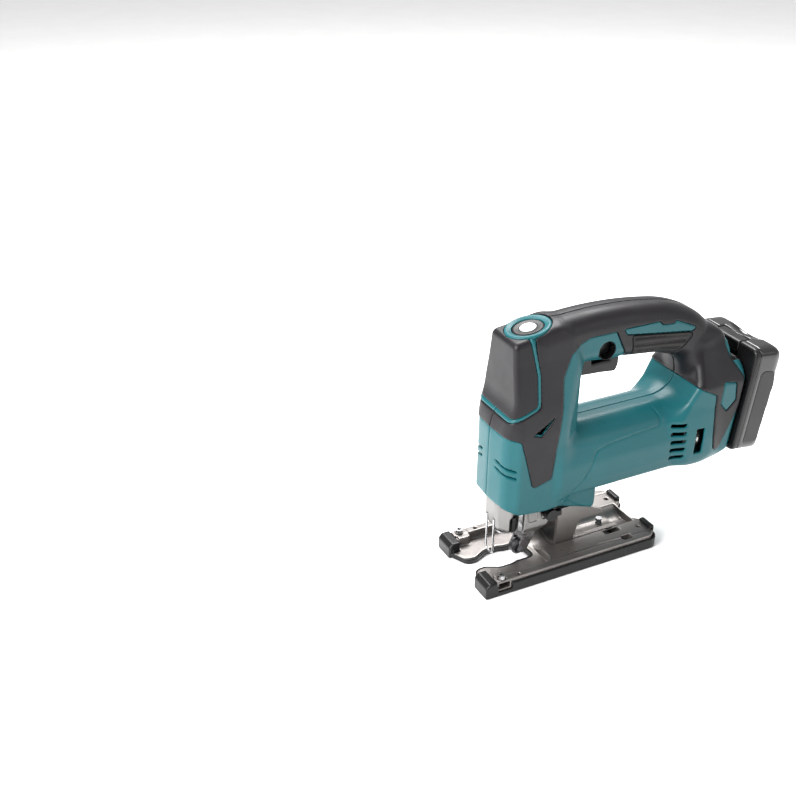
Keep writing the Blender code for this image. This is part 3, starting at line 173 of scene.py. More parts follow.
# ---- distance fields ------------------------------------------------------------------------
def outline_field(corners, a, b):
    """Distance from each (a, b) to a closed outline, negative inside it."""
    points = rounded(corners)
    nearest = np.full(np.broadcast(a, b).shape, 1e9)
    inside = np.zeros(nearest.shape, bool)
    for (start_a, start_b), (end_a, end_b) in zip(points, points[1:] + points[:1]):
        run_a, run_b = end_a - start_a, end_b - start_b
        length = run_a * run_a + run_b * run_b
        if length < 1e-12:
            continue
        share = np.clip(((a - start_a) * run_a + (b - start_b) * run_b) / length, 0, 1)
        apart = (a - start_a - run_a * share) ** 2 + (b - start_b - run_b * share) ** 2
        nearest = np.minimum(nearest, apart)
        if run_b:
            inside ^= ((start_b > b) != (end_b > b)) & (a < run_a * (b - start_b) / run_b + start_a)
    return (np.where(inside, -1.0, 1.0) * np.sqrt(nearest)).astype(np.float32)


def line_field(points, a, b):
    """Distance from each (a, b) to an open line of points."""
    nearest = np.full(np.broadcast(a, b).shape, 1e9)
    for (start_a, start_b), (end_a, end_b) in zip(points, points[1:]):
        run_a, run_b = end_a - start_a, end_b - start_b
        share = np.clip(((a - start_a) * run_a + (b - start_b) * run_b) / (run_a ** 2 + run_b ** 2), 0, 1)
        apart = (a - start_a - run_a * share) ** 2 + (b - start_b - run_b * share) ** 2
        nearest = np.minimum(nearest, apart)
    return np.sqrt(nearest).astype(np.float32)


def both(first, second, radius):
    """Rounded intersection: the edge where two fields meet gets this radius."""
    corner = np.hypot(np.maximum(first + radius, 0), np.maximum(second + radius, 0))
    return np.minimum(np.maximum(first, second), -radius) + corner


def either(first, second, radius):
    """Rounded union: the inner corner where two fields meet gets this radius."""
    corner = np.hypot(np.maximum(radius - first, 0), np.maximum(radius - second, 0))
    return np.maximum(np.minimum(first, second), radius) - corner


def without(body, tool, radius=0.0):
    """Cut one field out of another, with the new edge rounded."""
    return both(body, -tool, radius) if radius else np.maximum(body, -tool)


class Grid:
    """Sample points of a box, with the fields of simple shapes in it."""

    def __init__(self, lowest, highest, cell):
        self.lowest = lowest
        self.cell = cell
        axes = [np.arange(a, b + cell, cell, dtype=np.float32) for a, b in zip(lowest, highest)]
        self.x = axes[0][:, None, None]
        self.y = axes[1][None, :, None]
        self.z = axes[2][None, None, :]
        self.shape = tuple(len(axis) for axis in axes)

    def side(self, corners):
        return outline_field(corners, self.x, self.z)

    def plan(self, corners):
        return outline_field(corners, self.x, self.y)

    def front(self, corners):
        return outline_field(corners, self.y, self.z)

    def block(self, lowest, highest, radius=0.0):
        """A box with rounded edges."""
        reach = []
        for values, a, b in zip((self.x, self.y, self.z), lowest, highest):
            reach.append(np.abs(values - (a + b) / 2) - (b - a) / 2 + radius)
        outer = np.sqrt(sum(np.maximum(r, 0) ** 2 for r in reach))
        return outer + np.minimum(np.maximum(np.maximum(reach[0], reach[1]), reach[2]), 0) - radius

    def rod(self, axis, centre, radius):
        """An endless round bar along x, y or z through a point of the plane across it."""
        first, second = [v for i, v in enumerate((self.x, self.y, self.z)) if i != axis]
        return np.hypot(first - centre[0], second - centre[1]) - radius

    def full(self, field):
        return np.broadcast_to(field, self.shape)


def mesh_of(grid, field, place=None):
    """The zero surface of a field as vertices and faces, in the frame's metres."""
    volume = openvdb.FloatGrid(3.0)
    volume.copyFromArray(np.array(grid.full(field), dtype=np.float32, order="C"))
    points, triangles, quads = volume.convertToPolygons(isovalue=0.0, adaptivity=0.0)
    points = points * grid.cell + np.array(grid.lowest)
    if place is not None:
        points = place(points)
    points[:, 0] += FRONT
    faces = [tuple(face) for face in triangles[:, ::-1]] + [tuple(face) for face in quads[:, ::-1]]
    return points * MM, faces


def add(name, points, faces, surface, body, slot, *nodes):
    """Make a smooth-shaded piece, put it on its body and let it stand for its CAD nodes."""
    mesh = bpy.data.meshes.new(name)
    mesh.from_pydata([tuple(point) for point in points], [], faces)
    mesh.update()
    piece = bpy.data.objects.new(name, mesh)
    bpy.context.scene.collection.objects.link(piece)
    dress(piece, surface, body, slot, *nodes)


def dress(piece, surface, body, slot, *nodes, sharp=None):
    """Give a piece its material, its body and the CAD nodes that it stands for; its slot is not used."""
    piece.data.materials.clear()
    piece.data.materials.append(surface)
    if piece.type == "MESH":
        piece.data.shade_smooth()
        if sharp:
            piece.data.set_sharp_from_angle(angle=math.radians(sharp))
    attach(piece, body)
    if nodes:
        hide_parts(*nodes)


def cast_piece(name, grid, field, surface, body, slot, *nodes, place=None):
    """Make a piece of a field's surface."""
    points, faces = mesh_of(grid, field, place)
    add(name, points, faces, surface, body, slot, *nodes)


# ---- materials ------------------------------------------------------------------------------
def new_material(name):
    """A material, its nodes, its links and its shader."""
    made = bpy.data.materials.new(name)
    made.use_nodes = True
    return made, made.node_tree.nodes, made.node_tree.links, made.node_tree.nodes["Principled BSDF"]


def noise(nodes, links, scale, detail=3.0, stretch=(1, 1, 1)):
    """Noise laid through the object's own space; scale is in cells per metre."""
    space = nodes.new("ShaderNodeTexCoord")
    placing = nodes.new("ShaderNodeMapping")
    placing.inputs["Scale"].default_value = stretch
    texture = nodes.new("ShaderNodeTexNoise")
    texture.inputs["Scale"].default_value = scale
    texture.inputs["Detail"].default_value = detail
    links.new(space.outputs["Object"], placing.inputs["Vector"])
    links.new(placing.outputs["Vector"], texture.inputs["Vector"])
    return texture


def ramp(nodes, links, source, low_value, high_value, start=0.3, end=0.7):
    """Map a texture's value to a range of greys or colours."""
    made = nodes.new("ShaderNodeValToRGB")
    for element, spot, value in zip(made.color_ramp.elements, (start, end), (low_value, high_value)):
        element.position = spot
        element.color = (*value, 1.0) if isinstance(value, tuple) else (value, value, value, 1.0)
    links.new(source, made.inputs["Fac"])
    return made


def moulded(name, colour, roughness, grain=2600.0, depth=0.12, shift=0.12, spread=0.06, specular=0.5,
            coat=0.0, metallic=0.0, stretch=(1, 1, 1)):
    """A moulded, cast or ground surface: fine grain, soft colour drift and uneven gloss."""
    made, nodes, links, shader = new_material(name)
    drift = noise(nodes, links, 22.0, 4.0)
    darker = tuple(channel * (1 - shift) for channel in colour)
    lighter = tuple(min(1.0, channel * (1 + shift)) for channel in colour)
    tint = ramp(nodes, links, drift.outputs["Fac"], darker, lighter)
    links.new(tint.outputs["Color"], shader.inputs["Base Color"])
    smudge = noise(nodes, links, 60.0, 5.0, stretch)
    gloss = ramp(nodes, links, smudge.outputs["Fac"], max(0.02, roughness - spread), roughness + spread)
    links.new(gloss.outputs["Color"], shader.inputs["Roughness"])
    fine = noise(nodes, links, grain, 2.0, stretch)
    bump = nodes.new("ShaderNodeBump")
    bump.inputs["Strength"].default_value = depth
    bump.inputs["Distance"].default_value = 0.0002
    links.new(fine.outputs["Fac"], bump.inputs["Height"])
    links.new(bump.outputs["Normal"], shader.inputs["Normal"])
    shader.inputs["Specular IOR Level"].default_value = specular
    shader.inputs["Metallic"].default_value = metallic
    shader.inputs["Coat Weight"].default_value = coat
    shader.inputs["Coat Roughness"].default_value = 0.08
    return made


TEAL = moulded("teal_plastic", (0.003, 0.076, 0.088), 0.36, depth=0.10, shift=0.06, specular=0.30)
RUBBER = moulded("grey_rubber", (0.0055, 0.0045, 0.0062), 0.40, grain=3400.0,
                 depth=0.20, shift=0.15, specular=0.28)
GRIP = moulded("ribbed_rubber", (0.008, 0.0068, 0.0066), 0.50, grain=3000.0,
               depth=0.3, shift=0.12, specular=0.30)
BLACK = moulded("black_plastic", (0.0032, 0.0032, 0.0035), 0.34, depth=0.14, specular=0.30)
GLOSS = moulded("gloss_black", (0.003, 0.003, 0.003), 0.15, grain=900.0,
                depth=0.02, spread=0.04, coat=0.35)
LABEL = moulded("label_panel", (0.010, 0.0105, 0.0105), 0.38, grain=1800.0,
                depth=0.05, specular=0.35)
CAST = moulded("cast_aluminium", (0.200, 0.186, 0.178), 0.36, grain=1500.0, depth=0.30,
               shift=0.14, spread=0.10, metallic=0.85)
BRIGHT = moulded("bright_aluminium", (0.21, 0.205, 0.20), 0.34, grain=1200.0, depth=0.22,
                 shift=0.10, spread=0.08, metallic=0.9)
STEEL = moulded("steel", (0.42, 0.42, 0.43), 0.26, grain=1400.0, depth=0.10, shift=0.06, metallic=1.0,
                stretch=(1, 1, 6))
DARK_STEEL = moulded("dark_steel", (0.09, 0.09, 0.095), 0.32, grain=1400.0, depth=0.12, metallic=0.9)
COPPER = moulded("windings", (0.50, 0.22, 0.10), 0.40, grain=1800.0,
                 depth=0.5, metallic=0.7, stretch=(6, 1, 1))
CELLS = moulded("cell_wrap", (0.08, 0.17, 0.42), 0.35, depth=0.05)
WHITE = moulded("pale_mark", (0.72, 0.73, 0.72), 0.35, depth=0.03, shift=0.03)


# ---- housing: its forms ---------------------------------------------------------------------
HEAD_SIDE = [(HEAD_FRONT, 66, 4), (34, 58, 12), (57, 55, 10), (COLUMN_REAR, 58, 6),
             (COLUMN_REAR, 168, 8), (68, HANDLE_TOP - 3.5, 8), (27, HANDLE_TOP - 9.5, 4),
             (26.5, 150, 30), (HEAD_FRONT, 124, 30)]
HEAD_ACROSS = mirrored([(24, 50, 0), (HEAD_HALF, 68, 20), (HEAD_HALF, 125, 40), (18.5, 180, 40),
                        (14.5, 212, 8)])
HEAD_PLAN = mirrored([(3, HEAD_FRONT, 3), (20, HEAD_FRONT + 2.5, 10), (27, HEAD_FRONT + 13.5, 3),
                      (HEAD_HALF, 54, 20), (HEAD_HALF, COLUMN_REAR - 15, 8), (17.3, COLUMN_REAR + 1, 6),
                      (8, COLUMN_REAR + 12, 0)])
LOBE_SIDE = [(66, 76, 0), (72, 52, 4), (97, 44.5, 5), (105, 48, 4), (105, 76, 0)]
SKIRT_SIDE = [(66, 80, 0), (73, 63, 3), (84, 54.5, 4), (103, 42.5, 2.5), (105.5, 46, 3), (105.5, 80, 0)]
MOTOR_SIDE = [(62, 61.5, 0), (196, 61.5, 20), (206, 72, 8), (206, 112, 10), (188, 121, 8), (62, 121, 0)]
MOTOR_ACROSS = mirrored([(26, MOTOR_Z - 29.5, 9), (MOTOR_HALF, MOTOR_Z - 14, 12),
                         (MOTOR_HALF, MOTOR_Z, 24), (25, MOTOR_Z + 20, 14),
                         (9, MOTOR_Z + 29.5, 12)])


def mount_x(z):
    """The battery mounting plane's place at a height."""
    return FOOT_X + (z - FOOT_Z) * math.tan(LEAN)


REAR_SIDE = [(172, 108, 0), (182, 64, 10), (212, 62, 10), (mount_x(72), 72, 5), (mount_x(140), 140, 6),
             (mount_x(154) - 6, 154, 8), (212, 174, 10), (194, 166, 0), (188, 136, 14)]
REAR_ACROSS = mirrored([(24, 58, 10), (REAR_HALF, 72, 12), (REAR_HALF, 134, 10), (17, 160, 14),
                        (13, 190, 0)])
HANDLE_SIDE = [(40, 130, 0), (40, HANDLE_TOP - 6, 8), (66, HANDLE_TOP - 1.8, 400),
               (98, HANDLE_TOP, 400), (132, HANDLE_TOP - 1.5, 400), (168, HANDLE_TOP - 7, 400),
               (193, HANDLE_TOP - 18, 400), (210, HANDLE_TOP - 34, 400), (224, 150, 10), (210, 128, 0),
               (190, 136, 16), (181, 154, 16), (157, 162, 60), (128, 165.2, 3), (118, 164.5, 6),
               (COLUMN_REAR + 1, 167.5, 8), (COLUMN_REAR, 118, 0), (60, 118, 0)]

CAP_REGION = [(0, 147, 0), (12, 147, 2), (21, 141, 2), (43.6, 149, 3), (44, 172, 12), (40.5, 190, 12),
              (38, 202, 0), (30, 215, 0), (0, 215, 0)]
SKIN_REGION = [(56, 230, 0), (43, 204, 0), (43.4, 191, 12), (46.8, 172, 12), (46.4, 147, 3),
               (21.5, 138, 3), (12, 144, 2), (0, 144, 0), (0, 127, 0), (18, 127, 0), (31, 123, 3),
               (42.5, 81, 3), (58.5, 86, 2.5), (61, 112, 10), (65, 142, 20), (66, 166, 8), (73, 183, 8),
               (90, 190.8, 4), (113.5, 190.8, 2), (127.5, 163, 1), (132, 150, 0), (164, 151, 0),
               (172, 142.5, 12), (181, 136.5, 10), (203, 125.5, 3), (203.5, 104, 10), (203.8, 90, 8),
               (206, 76, 4.5), (212, 76, 5), (220, 95, 6), (227, 112, 6), (228.5, 136, 5),
               (220, 150, 5), (216, 165, 20), (240, 190, 0), (200, 230, 0)]
STRIP_REGION = [(119.5, 191.5, 1), (152, 191.2, 1), (155, 188, 1), (165, 187, 1), (168, 189, 1),
                (188, 180, 1.5), (184, 177.5, 1), (123, 186.5, 1)]
INSERT_REGION = [(128, 184.5, 1), (183, 176.5, 2), (184.5, 174, 3), (171, 160, 6), (160, 150, 0),
                 (134, 150, 0)]
SLIT = [(40, 127, 0.4), (47, 124.5, 0.6), (59.5, 138.5, 0.4)]
INSET_REGION = [(209.5, 134.5, 1), (220.5, 132, 1), (222, 117.5, 1), (214.5, 110, 1), (208.5, 117, 1)]
SEAM = [(69, 58), (77, 68.6), (87.6, 80.4), (91.5, 87), (94.6, 95), (96.5, 98.5), (100, 100.8),
        (115, 103.3), (154, 106.6), (157, 108), (158, 112), (154, 123.5), (147.6, 131)]
VENT_HEIGHTS = (104.0, 97.0, 90.0, 83.0, 76.0)
SCREWS = ((62.0, 187.0), (160.0, 184.5), (199.0, 148.0), (200.0, 69.5), (98.0, 55.5))


def body_field(grid):
    """The outer form of both shells."""
    head = both(both(grid.side(HEAD_SIDE), grid.plan(turned_over(HEAD_PLAN)), 2.5),
                grid.front(HEAD_ACROSS), 3)
    motor = both(grid.side(MOTOR_SIDE), grid.front(MOTOR_ACROSS), 6)
    share = np.clip((grid.x - 170) / 34, 0, 1)
    narrowing = 3.2 * (1 - share * share * (3 - 2 * share))
    rear = both(grid.side(REAR_SIDE), grid.front(REAR_ACROSS) + narrowing, 4)
    handle = both(grid.side(HANDLE_SIDE), grid.y - GRIP_HALF, 12)
    lobe = both(grid.side(LOBE_SIDE), grid.y - 20.0, 3)
    form = either(head, motor, 5)
    form = either(form, lobe, 3)
    skirt = both(grid.side(SKIRT_SIDE), np.abs(grid.y - 17.3) - 3.7, 2)
    form = either(form, skirt, 3)
    form = either(form, rear, 12)
    return either(form, handle, 8)


def leaned(grid):
    """Distance behind the battery's mounting plane and height along it."""
    across = grid.x - FOOT_X
    up = grid.z - FOOT_Z
    return across * math.cos(LEAN) - up * math.sin(LEAN), across * math.sin(LEAN) + up * math.cos(LEAN)


def ring_frame(grid):
    """Distance along the button's axis, and out from it measured as if the oval were round."""
    along_x = (grid.x - BUTTON_X) * math.cos(BUTTON_TILT) + (grid.z - BUTTON_Z) * math.sin(BUTTON_TILT)
    up = -(grid.x - BUTTON_X) * math.sin(BUTTON_TILT) + (grid.z - BUTTON_Z) * math.cos(BUTTON_TILT)
    return up, np.hypot(along_x / OVAL, grid.y)


def opening_fields(grid):
    """What is cut through shells and pads alike.

    In turn: the gear housing's mouth, the trigger's slot, the ring's seat, the button's well, the channel
    of the battery's rails and all that is behind the battery's mounting plane.
    """
    behind, up = leaned(grid)
    rise, out = ring_frame(grid)
    yield grid.block((HEAD_FRONT + 2.9, -20, 40), (76.3, 16.3, 72))
    yield grid.block((86.7, -20, 140), (124.3, 9.3, 174))
    yield np.maximum(out - RING_RADIUS - 0.2, -rise - RING_DEPTH)
    yield np.maximum(out - BUTTON_RADIUS - GAP, -rise - 11)
    yield np.maximum(np.abs(behind + 5) - 7.3, np.maximum(grid.y - RAIL_HALF - GAP, np.abs(up - 63) - 67))
    yield -behind - 0.25


def shell_details(grid, left):
    """Rear vents and front slots, then the left side's dial slot or the right side's screw holes."""
    for z in VENT_HEIGHTS:
        slant = grid.z - z - (grid.x - 172) * 0.02
        slot = both(np.abs(grid.x - 172.5) - 6.2, np.abs(slant) - 1.5, 1.1)
        yield np.maximum(slot, -(grid.y - 12))
    for z in (95.5, 101.5):
        drop = (grid.y - 16) * 0.30 + (grid.y - 16) ** 2 * 0.012
        slot = both(np.abs(grid.z - z + drop) - 0.9, np.abs(grid.y - 17) - 8, 0.7)
        yield np.maximum(slot, grid.x - 40)
    if left:
        well = both(np.abs(grid.x - DIAL_X - (grid.z - DIAL_Z) * 0.04) - 3.7,
                    np.abs(grid.z - DIAL_Z) - 10.8, 0.8)
        yield np.maximum(well, -(grid.y - 16))
    else:
        for x, z in SCREWS:
            yield np.maximum(grid.rod(1, (x, z), 3.3), 14 - grid.y)


def pad_fields(grid, body):
    """The front cap, the side pad and the ribbed grip, each as a solid sunk into the shell."""
    sunk = -(body + PAD_SUNK)
    cap = both(body - PAD_PROUD, grid.side(CAP_REGION), 0.7)
    skin = both(body - PAD_PROUD, grid.side(SKIN_REGION), 0.7)
    strip = grid.side(STRIP_REGION)
    insert = grid.side(INSERT_REGION)
    skin = without(skin, strip - 0.2, 0.4)
    skin = without(skin, insert - 0.5, 0.5)
    skin = without(skin, grid.side(SLIT), 0.4)
    skin = without(skin, grid.side(INSET_REGION) - 1.0, 0.4)
    along = grid.z - 173 + (grid.x - 156) * 0.115
    rows = np.abs((along + 2.9) % 5.8 - 2.9)
    groove = 1.5 * np.exp(-(rows / 0.9) ** 2) * np.clip(-insert / 1.2 - 0.8, 0, 1)
    grip = both(body - PAD_PROUD - 0.15 + groove, insert, 0.7)
    return {"cap": np.maximum(cap, sunk), "skin": np.maximum(skin, sunk), "grip": np.maximum(grip, sunk)}


def shell_field(grid, body, pads, left):
    """One half of the housing, hollow, with raised teal lines between its pads."""
    cap = grid.side(CAP_REGION)
    line = both(body - PAD_PROUD - 0.15, np.abs(cap - 1.5) - 1.05, 0.4)
    line = np.maximum(line, np.maximum(grid.z - 202, grid.x - 52))
    strip = both(body - PAD_PROUD + 0.1, grid.side(STRIP_REGION), 0.5)
    inset = both(body - PAD_PROUD + 0.2, grid.side(INSET_REGION), 0.5)
    outer = np.minimum(np.minimum(body, line), np.minimum(strip, inset))
    seam = line_field(SEAM, grid.x, grid.z)
    outer = outer + 0.8 * np.exp(-(seam / 0.5) ** 2) * (grid.y > 12)
    shell = np.maximum(outer, -(body + WALL))
    for pad in pads.values():
        shell = np.maximum(shell, 0.06 - pad)
    shell = without(shell, grid.side([(a + 0.6, b + 1.1, radius) for a, b, radius in SLIT]))
    for tool in shell_details(grid, left):
        shell = without(shell, tool, 0.35)
    return shell


def make_housing():
    """Both halves of the shells, their pads and ribbed grips, and the front cap."""
    grid = Grid((14, -1.4, 41), (237, 36.4, 210), SHELL_CELL)
    body = body_field(grid)
    pads = pad_fields(grid, body)
    openings = list(opening_fields(grid))
    parting = 0.12 - grid.y
    lock = grid.rod(1, (LOCK_X, LOCK_Z), LOCK_RADIUS + 0.35)
    for side, left in (("left", True), ("right", False)):
        sign = -1.0 if left else 1.0

        def place(points):
            points[:, 1] *= sign
            return points

        shell = shell_field(grid, body, pads, left)
        shell = both(shell, parting, 0.45)
        skin = both(pads["skin"], parting, 0.3)
        grip = np.maximum(pads["grip"], 6 - grid.y)
        for tool in openings:
            shell = without(shell, tool)
            skin = without(skin, tool)
        shell = without(shell, lock, 0.8)
        for name, node, field, surface, slot in (
                ("housing_shell", "housing", shell, TEAL, "teal_plastic"),
                ("soft_pad", "overmould", skin, RUBBER, "grey_rubber"),
                ("ribbed_grip", "grip_insert", grip, GRIP, "grey_rubber")):
            points, faces = mesh_of(grid, field, place)
            if left:
                faces = [face[::-1] for face in faces]
            add(f"{side}_{name}", points, faces, surface, "tool", slot, f"{side}_{node}")
    folded = Grid((14, -30.1, 138), (50, 30.1, 209), MEDIUM_CELL)
    folded.y = np.abs(folded.y)
    cap = pad_fields(folded, body_field(folded))["cap"]
    for tool in opening_fields(folded):
        cap = without(cap, tool)
    cast_piece("front_cap_skin", folded, cap, RUBBER, "tool", "grey_rubber", "front_cap")


# ---- battery --------------------------------------------------------------------------------
def from_battery(points):
    """Out of the battery's own frame (u behind the plane, y, v up it) into the tool's."""
    turned = points.copy()
    turned[:, 0] = FOOT_X + points[:, 0] * math.cos(LEAN) + points[:, 2] * math.sin(LEAN)
    turned[:, 2] = FOOT_Z - points[:, 0] * math.sin(LEAN) + points[:, 2] * math.cos(LEAN)
    return turned


def make_battery():
    """Case, lid with rails, side panels and latch button, in the battery's leaning frame."""
    half = BATTERY_HALF
    deep = BATTERY_DEPTH
    grid = Grid((-14, -half - 1, -6), (deep + 2, half + 1, 90), MEDIUM_CELL)
    side = [(0.3, -4, 2), (deep, -4, 7), (deep, 76, 9), (deep - 8, 86, 8), (0.3, 84, 3)]
    plan = mirrored([(half, 0.3, 1.5), (half, deep, 11)])
    across = mirrored([(half, -4, 7), (half, 60, 30), (half - 2, 88, 12)])
    slab = both(both(grid.side(side), grid.plan(turned_over(plan)), 2.5), grid.front(across), 3)
    folded = np.abs(grid.y)
    panel = outline_field([(9.5, 3, 2), (deep - 6, 3, 3), (deep - 4, 55, 3), (deep - 6, 66, 5),
                           (9.5, 68, 6)], grid.x, grid.z)
    recess = both(panel, (half - 1.0) - folded, 0.4)
    slab_cut = without(slab, recess, 0.5)
    rear_panel = both(grid.front(mirrored([(27, 6, 4), (27, 64, 6)])), deep - 0.8 - grid.x, 0.4)
    slab_cut = without(slab_cut, rear_panel, 0.4)
    notch = grid.block((-2, -15.3, 71), (12, 15.3, 100), 1.0)
    slab_cut = without(slab_cut, notch, 0.8)
    scoop = np.hypot(np.hypot(grid.x - 21, grid.y * 0.55), grid.z - 92) - 11.5
    slab_cut = without(slab_cut, scoop, 1.2)
    room = grid.block((4, -half + 3, 0), (deep - 2, half - 3, 68), 2)
    hollow = without(slab_cut, room)
    case = both(hollow, 6.35 - grid.x, 0.5)
    cast_piece("battery_case_shell", grid, case, GLOSS, "battery", "gloss_black", "battery_case",
               place=from_battery)
    rails = np.minimum(grid.block((-4.5, -20, 0), (2, 20, 70), 0.4),
                       grid.block((-12, -24, 0), (-4, 24, 70), 0.8))
    rail_room = grid.block((-10, -17, 3), (8, 17, 66), 0.5)
    lid = both(hollow, grid.x - 6.05, 0.5)
    lid = without(np.minimum(lid, rails), rail_room)
    cast_piece("battery_lid_shell", grid, lid, BLACK, "battery", "gloss_black", "battery_lid",
               place=from_battery)
    label = np.maximum(both(panel + 0.5, folded - half + 0.75, 0.3), half - 1.6 - folded)
    cast_piece("battery_side_panels", grid, label, LABEL, "battery", "gloss_black", place=from_battery)
    latch_low = 74.3
    latch = both(grid.block((0.6, -14.6, latch_low), (11.6, 14.6, 85), 1.8), grid.side(side) + 0.4, 0.8)
    ribs = 0.5 * np.exp(-(((grid.z - 76) % 2.6 - 1.3) / 0.5) ** 2) * (np.abs(grid.y) < 9) * (grid.z < 82)
    cast_piece("battery_latch_button", grid, latch + ribs, BLACK, "battery_latch", "gloss_black",
               "battery_latch", place=from_battery)


# ---- base -----------------------------------------------------------------------------------
def base_corners(inset):
    """The base's plan with its blade throat, drawn in from its edge."""
    half = BASE_HALF - inset
    return mirrored([(0.001, 58 + inset, 0), (9.5 + inset, 58 + inset, 5), (9.5 + inset, 44, 3),
                     (11 + inset, 40, 4), (11 + inset, 28, 6), (5.8 + inset, 18, 6),
                     (5.8 + inset, 9, 7), (half - 17, 1.5 + inset, 4), (half - 19, inset, 2),
                     (half, inset, 3), (half, BASE_LENGTH - inset, 9), (14, BASE_LENGTH - inset, 4),
                     (9, BASE_LENGTH - 6 - inset, 4), (0.001, BASE_LENGTH - 6 - inset, 0)])


def make_base():
    """The cast plate and the plastic cover that it sits in."""
    grid = Grid((-1.5, -40, -1), (163, 40, 17), FINE_CELL)
    folded = np.abs(grid.y)
    half = BASE_HALF
    inner = half - 8.5
    plate_plan = grid.plan(turned_over(base_corners(1.8)))
    plate = both(plate_plan, np.abs(grid.z - 7.4) - 4.6, 0.9)
    well = [(-9, -inner - 40, 0), (-9, inner, 0), (64, inner, 7), (64, -inner - 40, 7)]
    well = both(outline_field(well, grid.x, folded), 4.8 - grid.z, 0.6)
    plate = without(plate, well, 0.9)
    pad = [(12, 25, 3), (23, 25, 3), (23, half - 1.9, 0.5), (12, half - 1.9, 0.5)]
    pad = both(outline_field(pad, grid.x, folded), grid.z - BASE_TOP, 0.8)
    plate = either(plate, np.maximum(pad, 3.0 - grid.z), 0.8)
    from_bevel = np.hypot(grid.y, grid.z - BEVEL_Z)
    plate = without(plate, np.maximum(from_bevel - CRADLE_RADIUS, grid.x - BASE_LENGTH + 9), 0.7)
    plate = without(plate, np.maximum(np.abs(grid.x - 4) - 6.3, np.maximum(19.2 - folded, -grid.z)))
    slot = grid.block((12, 26, 5), (21.5, 60, 10))
    slot = np.minimum(slot, grid.block((12, -60, 5), (21.5, -26, 10)))
    plate = without(plate, slot, 0.5)
    plate = without(plate, np.maximum(np.hypot(grid.x - 16, folded - 33) - 3.3, 9 - grid.z), 0.3)
    for x, y, radius, floor in ((151, 22, 1.6, 6), (31, 33.5, 1.4, 9)):
        plate = without(plate, np.maximum(np.hypot(grid.x - x, folded - y) - radius, floor - grid.z), 0.3)
    plate = without(plate, grid.block((130, -33, 5), (138.5, -27, 20), 0.6), 0.4)
    taper = outline_field([(104, -27.5, 0.2), (130, -29, 0), (130, -31.5, 0)], grid.x, grid.y)
    plate = without(plate, np.maximum(taper, 11.1 - grid.z), 0.2)
    rail_line = np.abs(folded - (half - 8.3))
    plate = plate + 0.35 * np.exp(-(rail_line / 0.5) ** 2) * (grid.x > 64) * (grid.z > 10)
    sweep = np.maximum(np.abs(grid.x - BOLT_X) - 2.8, folded - (19 - np.clip(grid.z - 7, 0, 5.2)))
    plate = without(plate, sweep, 0.3)
    bolt_room = np.maximum(from_bevel - BOLT_ROOM, np.abs(grid.x - BOLT_X) - 7)
    plate = without(plate, np.maximum(bolt_room, 18.2 - from_bevel))
    plate = np.maximum(plate, 2.8 - grid.z)
    cast_piece("cast_base_plate", grid, plate, CAST, "base", "cast_aluminium", "base_plate")

    cover = both(grid.plan(turned_over(base_corners(0.0))), np.abs(grid.z - 4.5) - 4.5, 0.7)
    cover = without(cover, np.maximum(grid.plan(turned_over(base_corners(1.5))), 2.5 - grid.z))
    nose = both(grid.side([(0, 0, 1), (10, 0, 0), (10, 12.8, 1.2), (3, 12.8, 2.5), (0, 9.5, 2.5)]),
                np.abs(folded - half + 9.5) - 9.5, 1.2)
    window = np.maximum(np.abs(grid.x - 17) - 6, np.maximum(inner - 4 - folded, 4.0 - grid.z))
    hollow = grid.block((10.3, -inner + 4, 4.5), (62, inner - 4, 30))
    front_hollow = grid.block((-5, -18.2, 4.5), (11, 18.2, 30))
    cover = without(without(without(cover, window, 0.3), hollow), front_hollow)
    cover = np.minimum(cover, nose)
    hook = both(grid.side([(BASE_LENGTH - 5, 12.3, 0.4), (BASE_LENGTH - 5, 15, 1), (BASE_LENGTH, 15, 1.6),
                           (BASE_LENGTH, 4, 0), (BASE_LENGTH - 1.5, 4, 0), (BASE_LENGTH - 1.5, 12.3, 0)]),
                np.abs(folded - 23) - 7, 1.0)
    cover = np.minimum(cover, hook)
    cover = without(cover, bolt_room)
    cast_piece("base_slide_cover", grid, cover, BLACK, "base", "black_plastic", "base_cover")


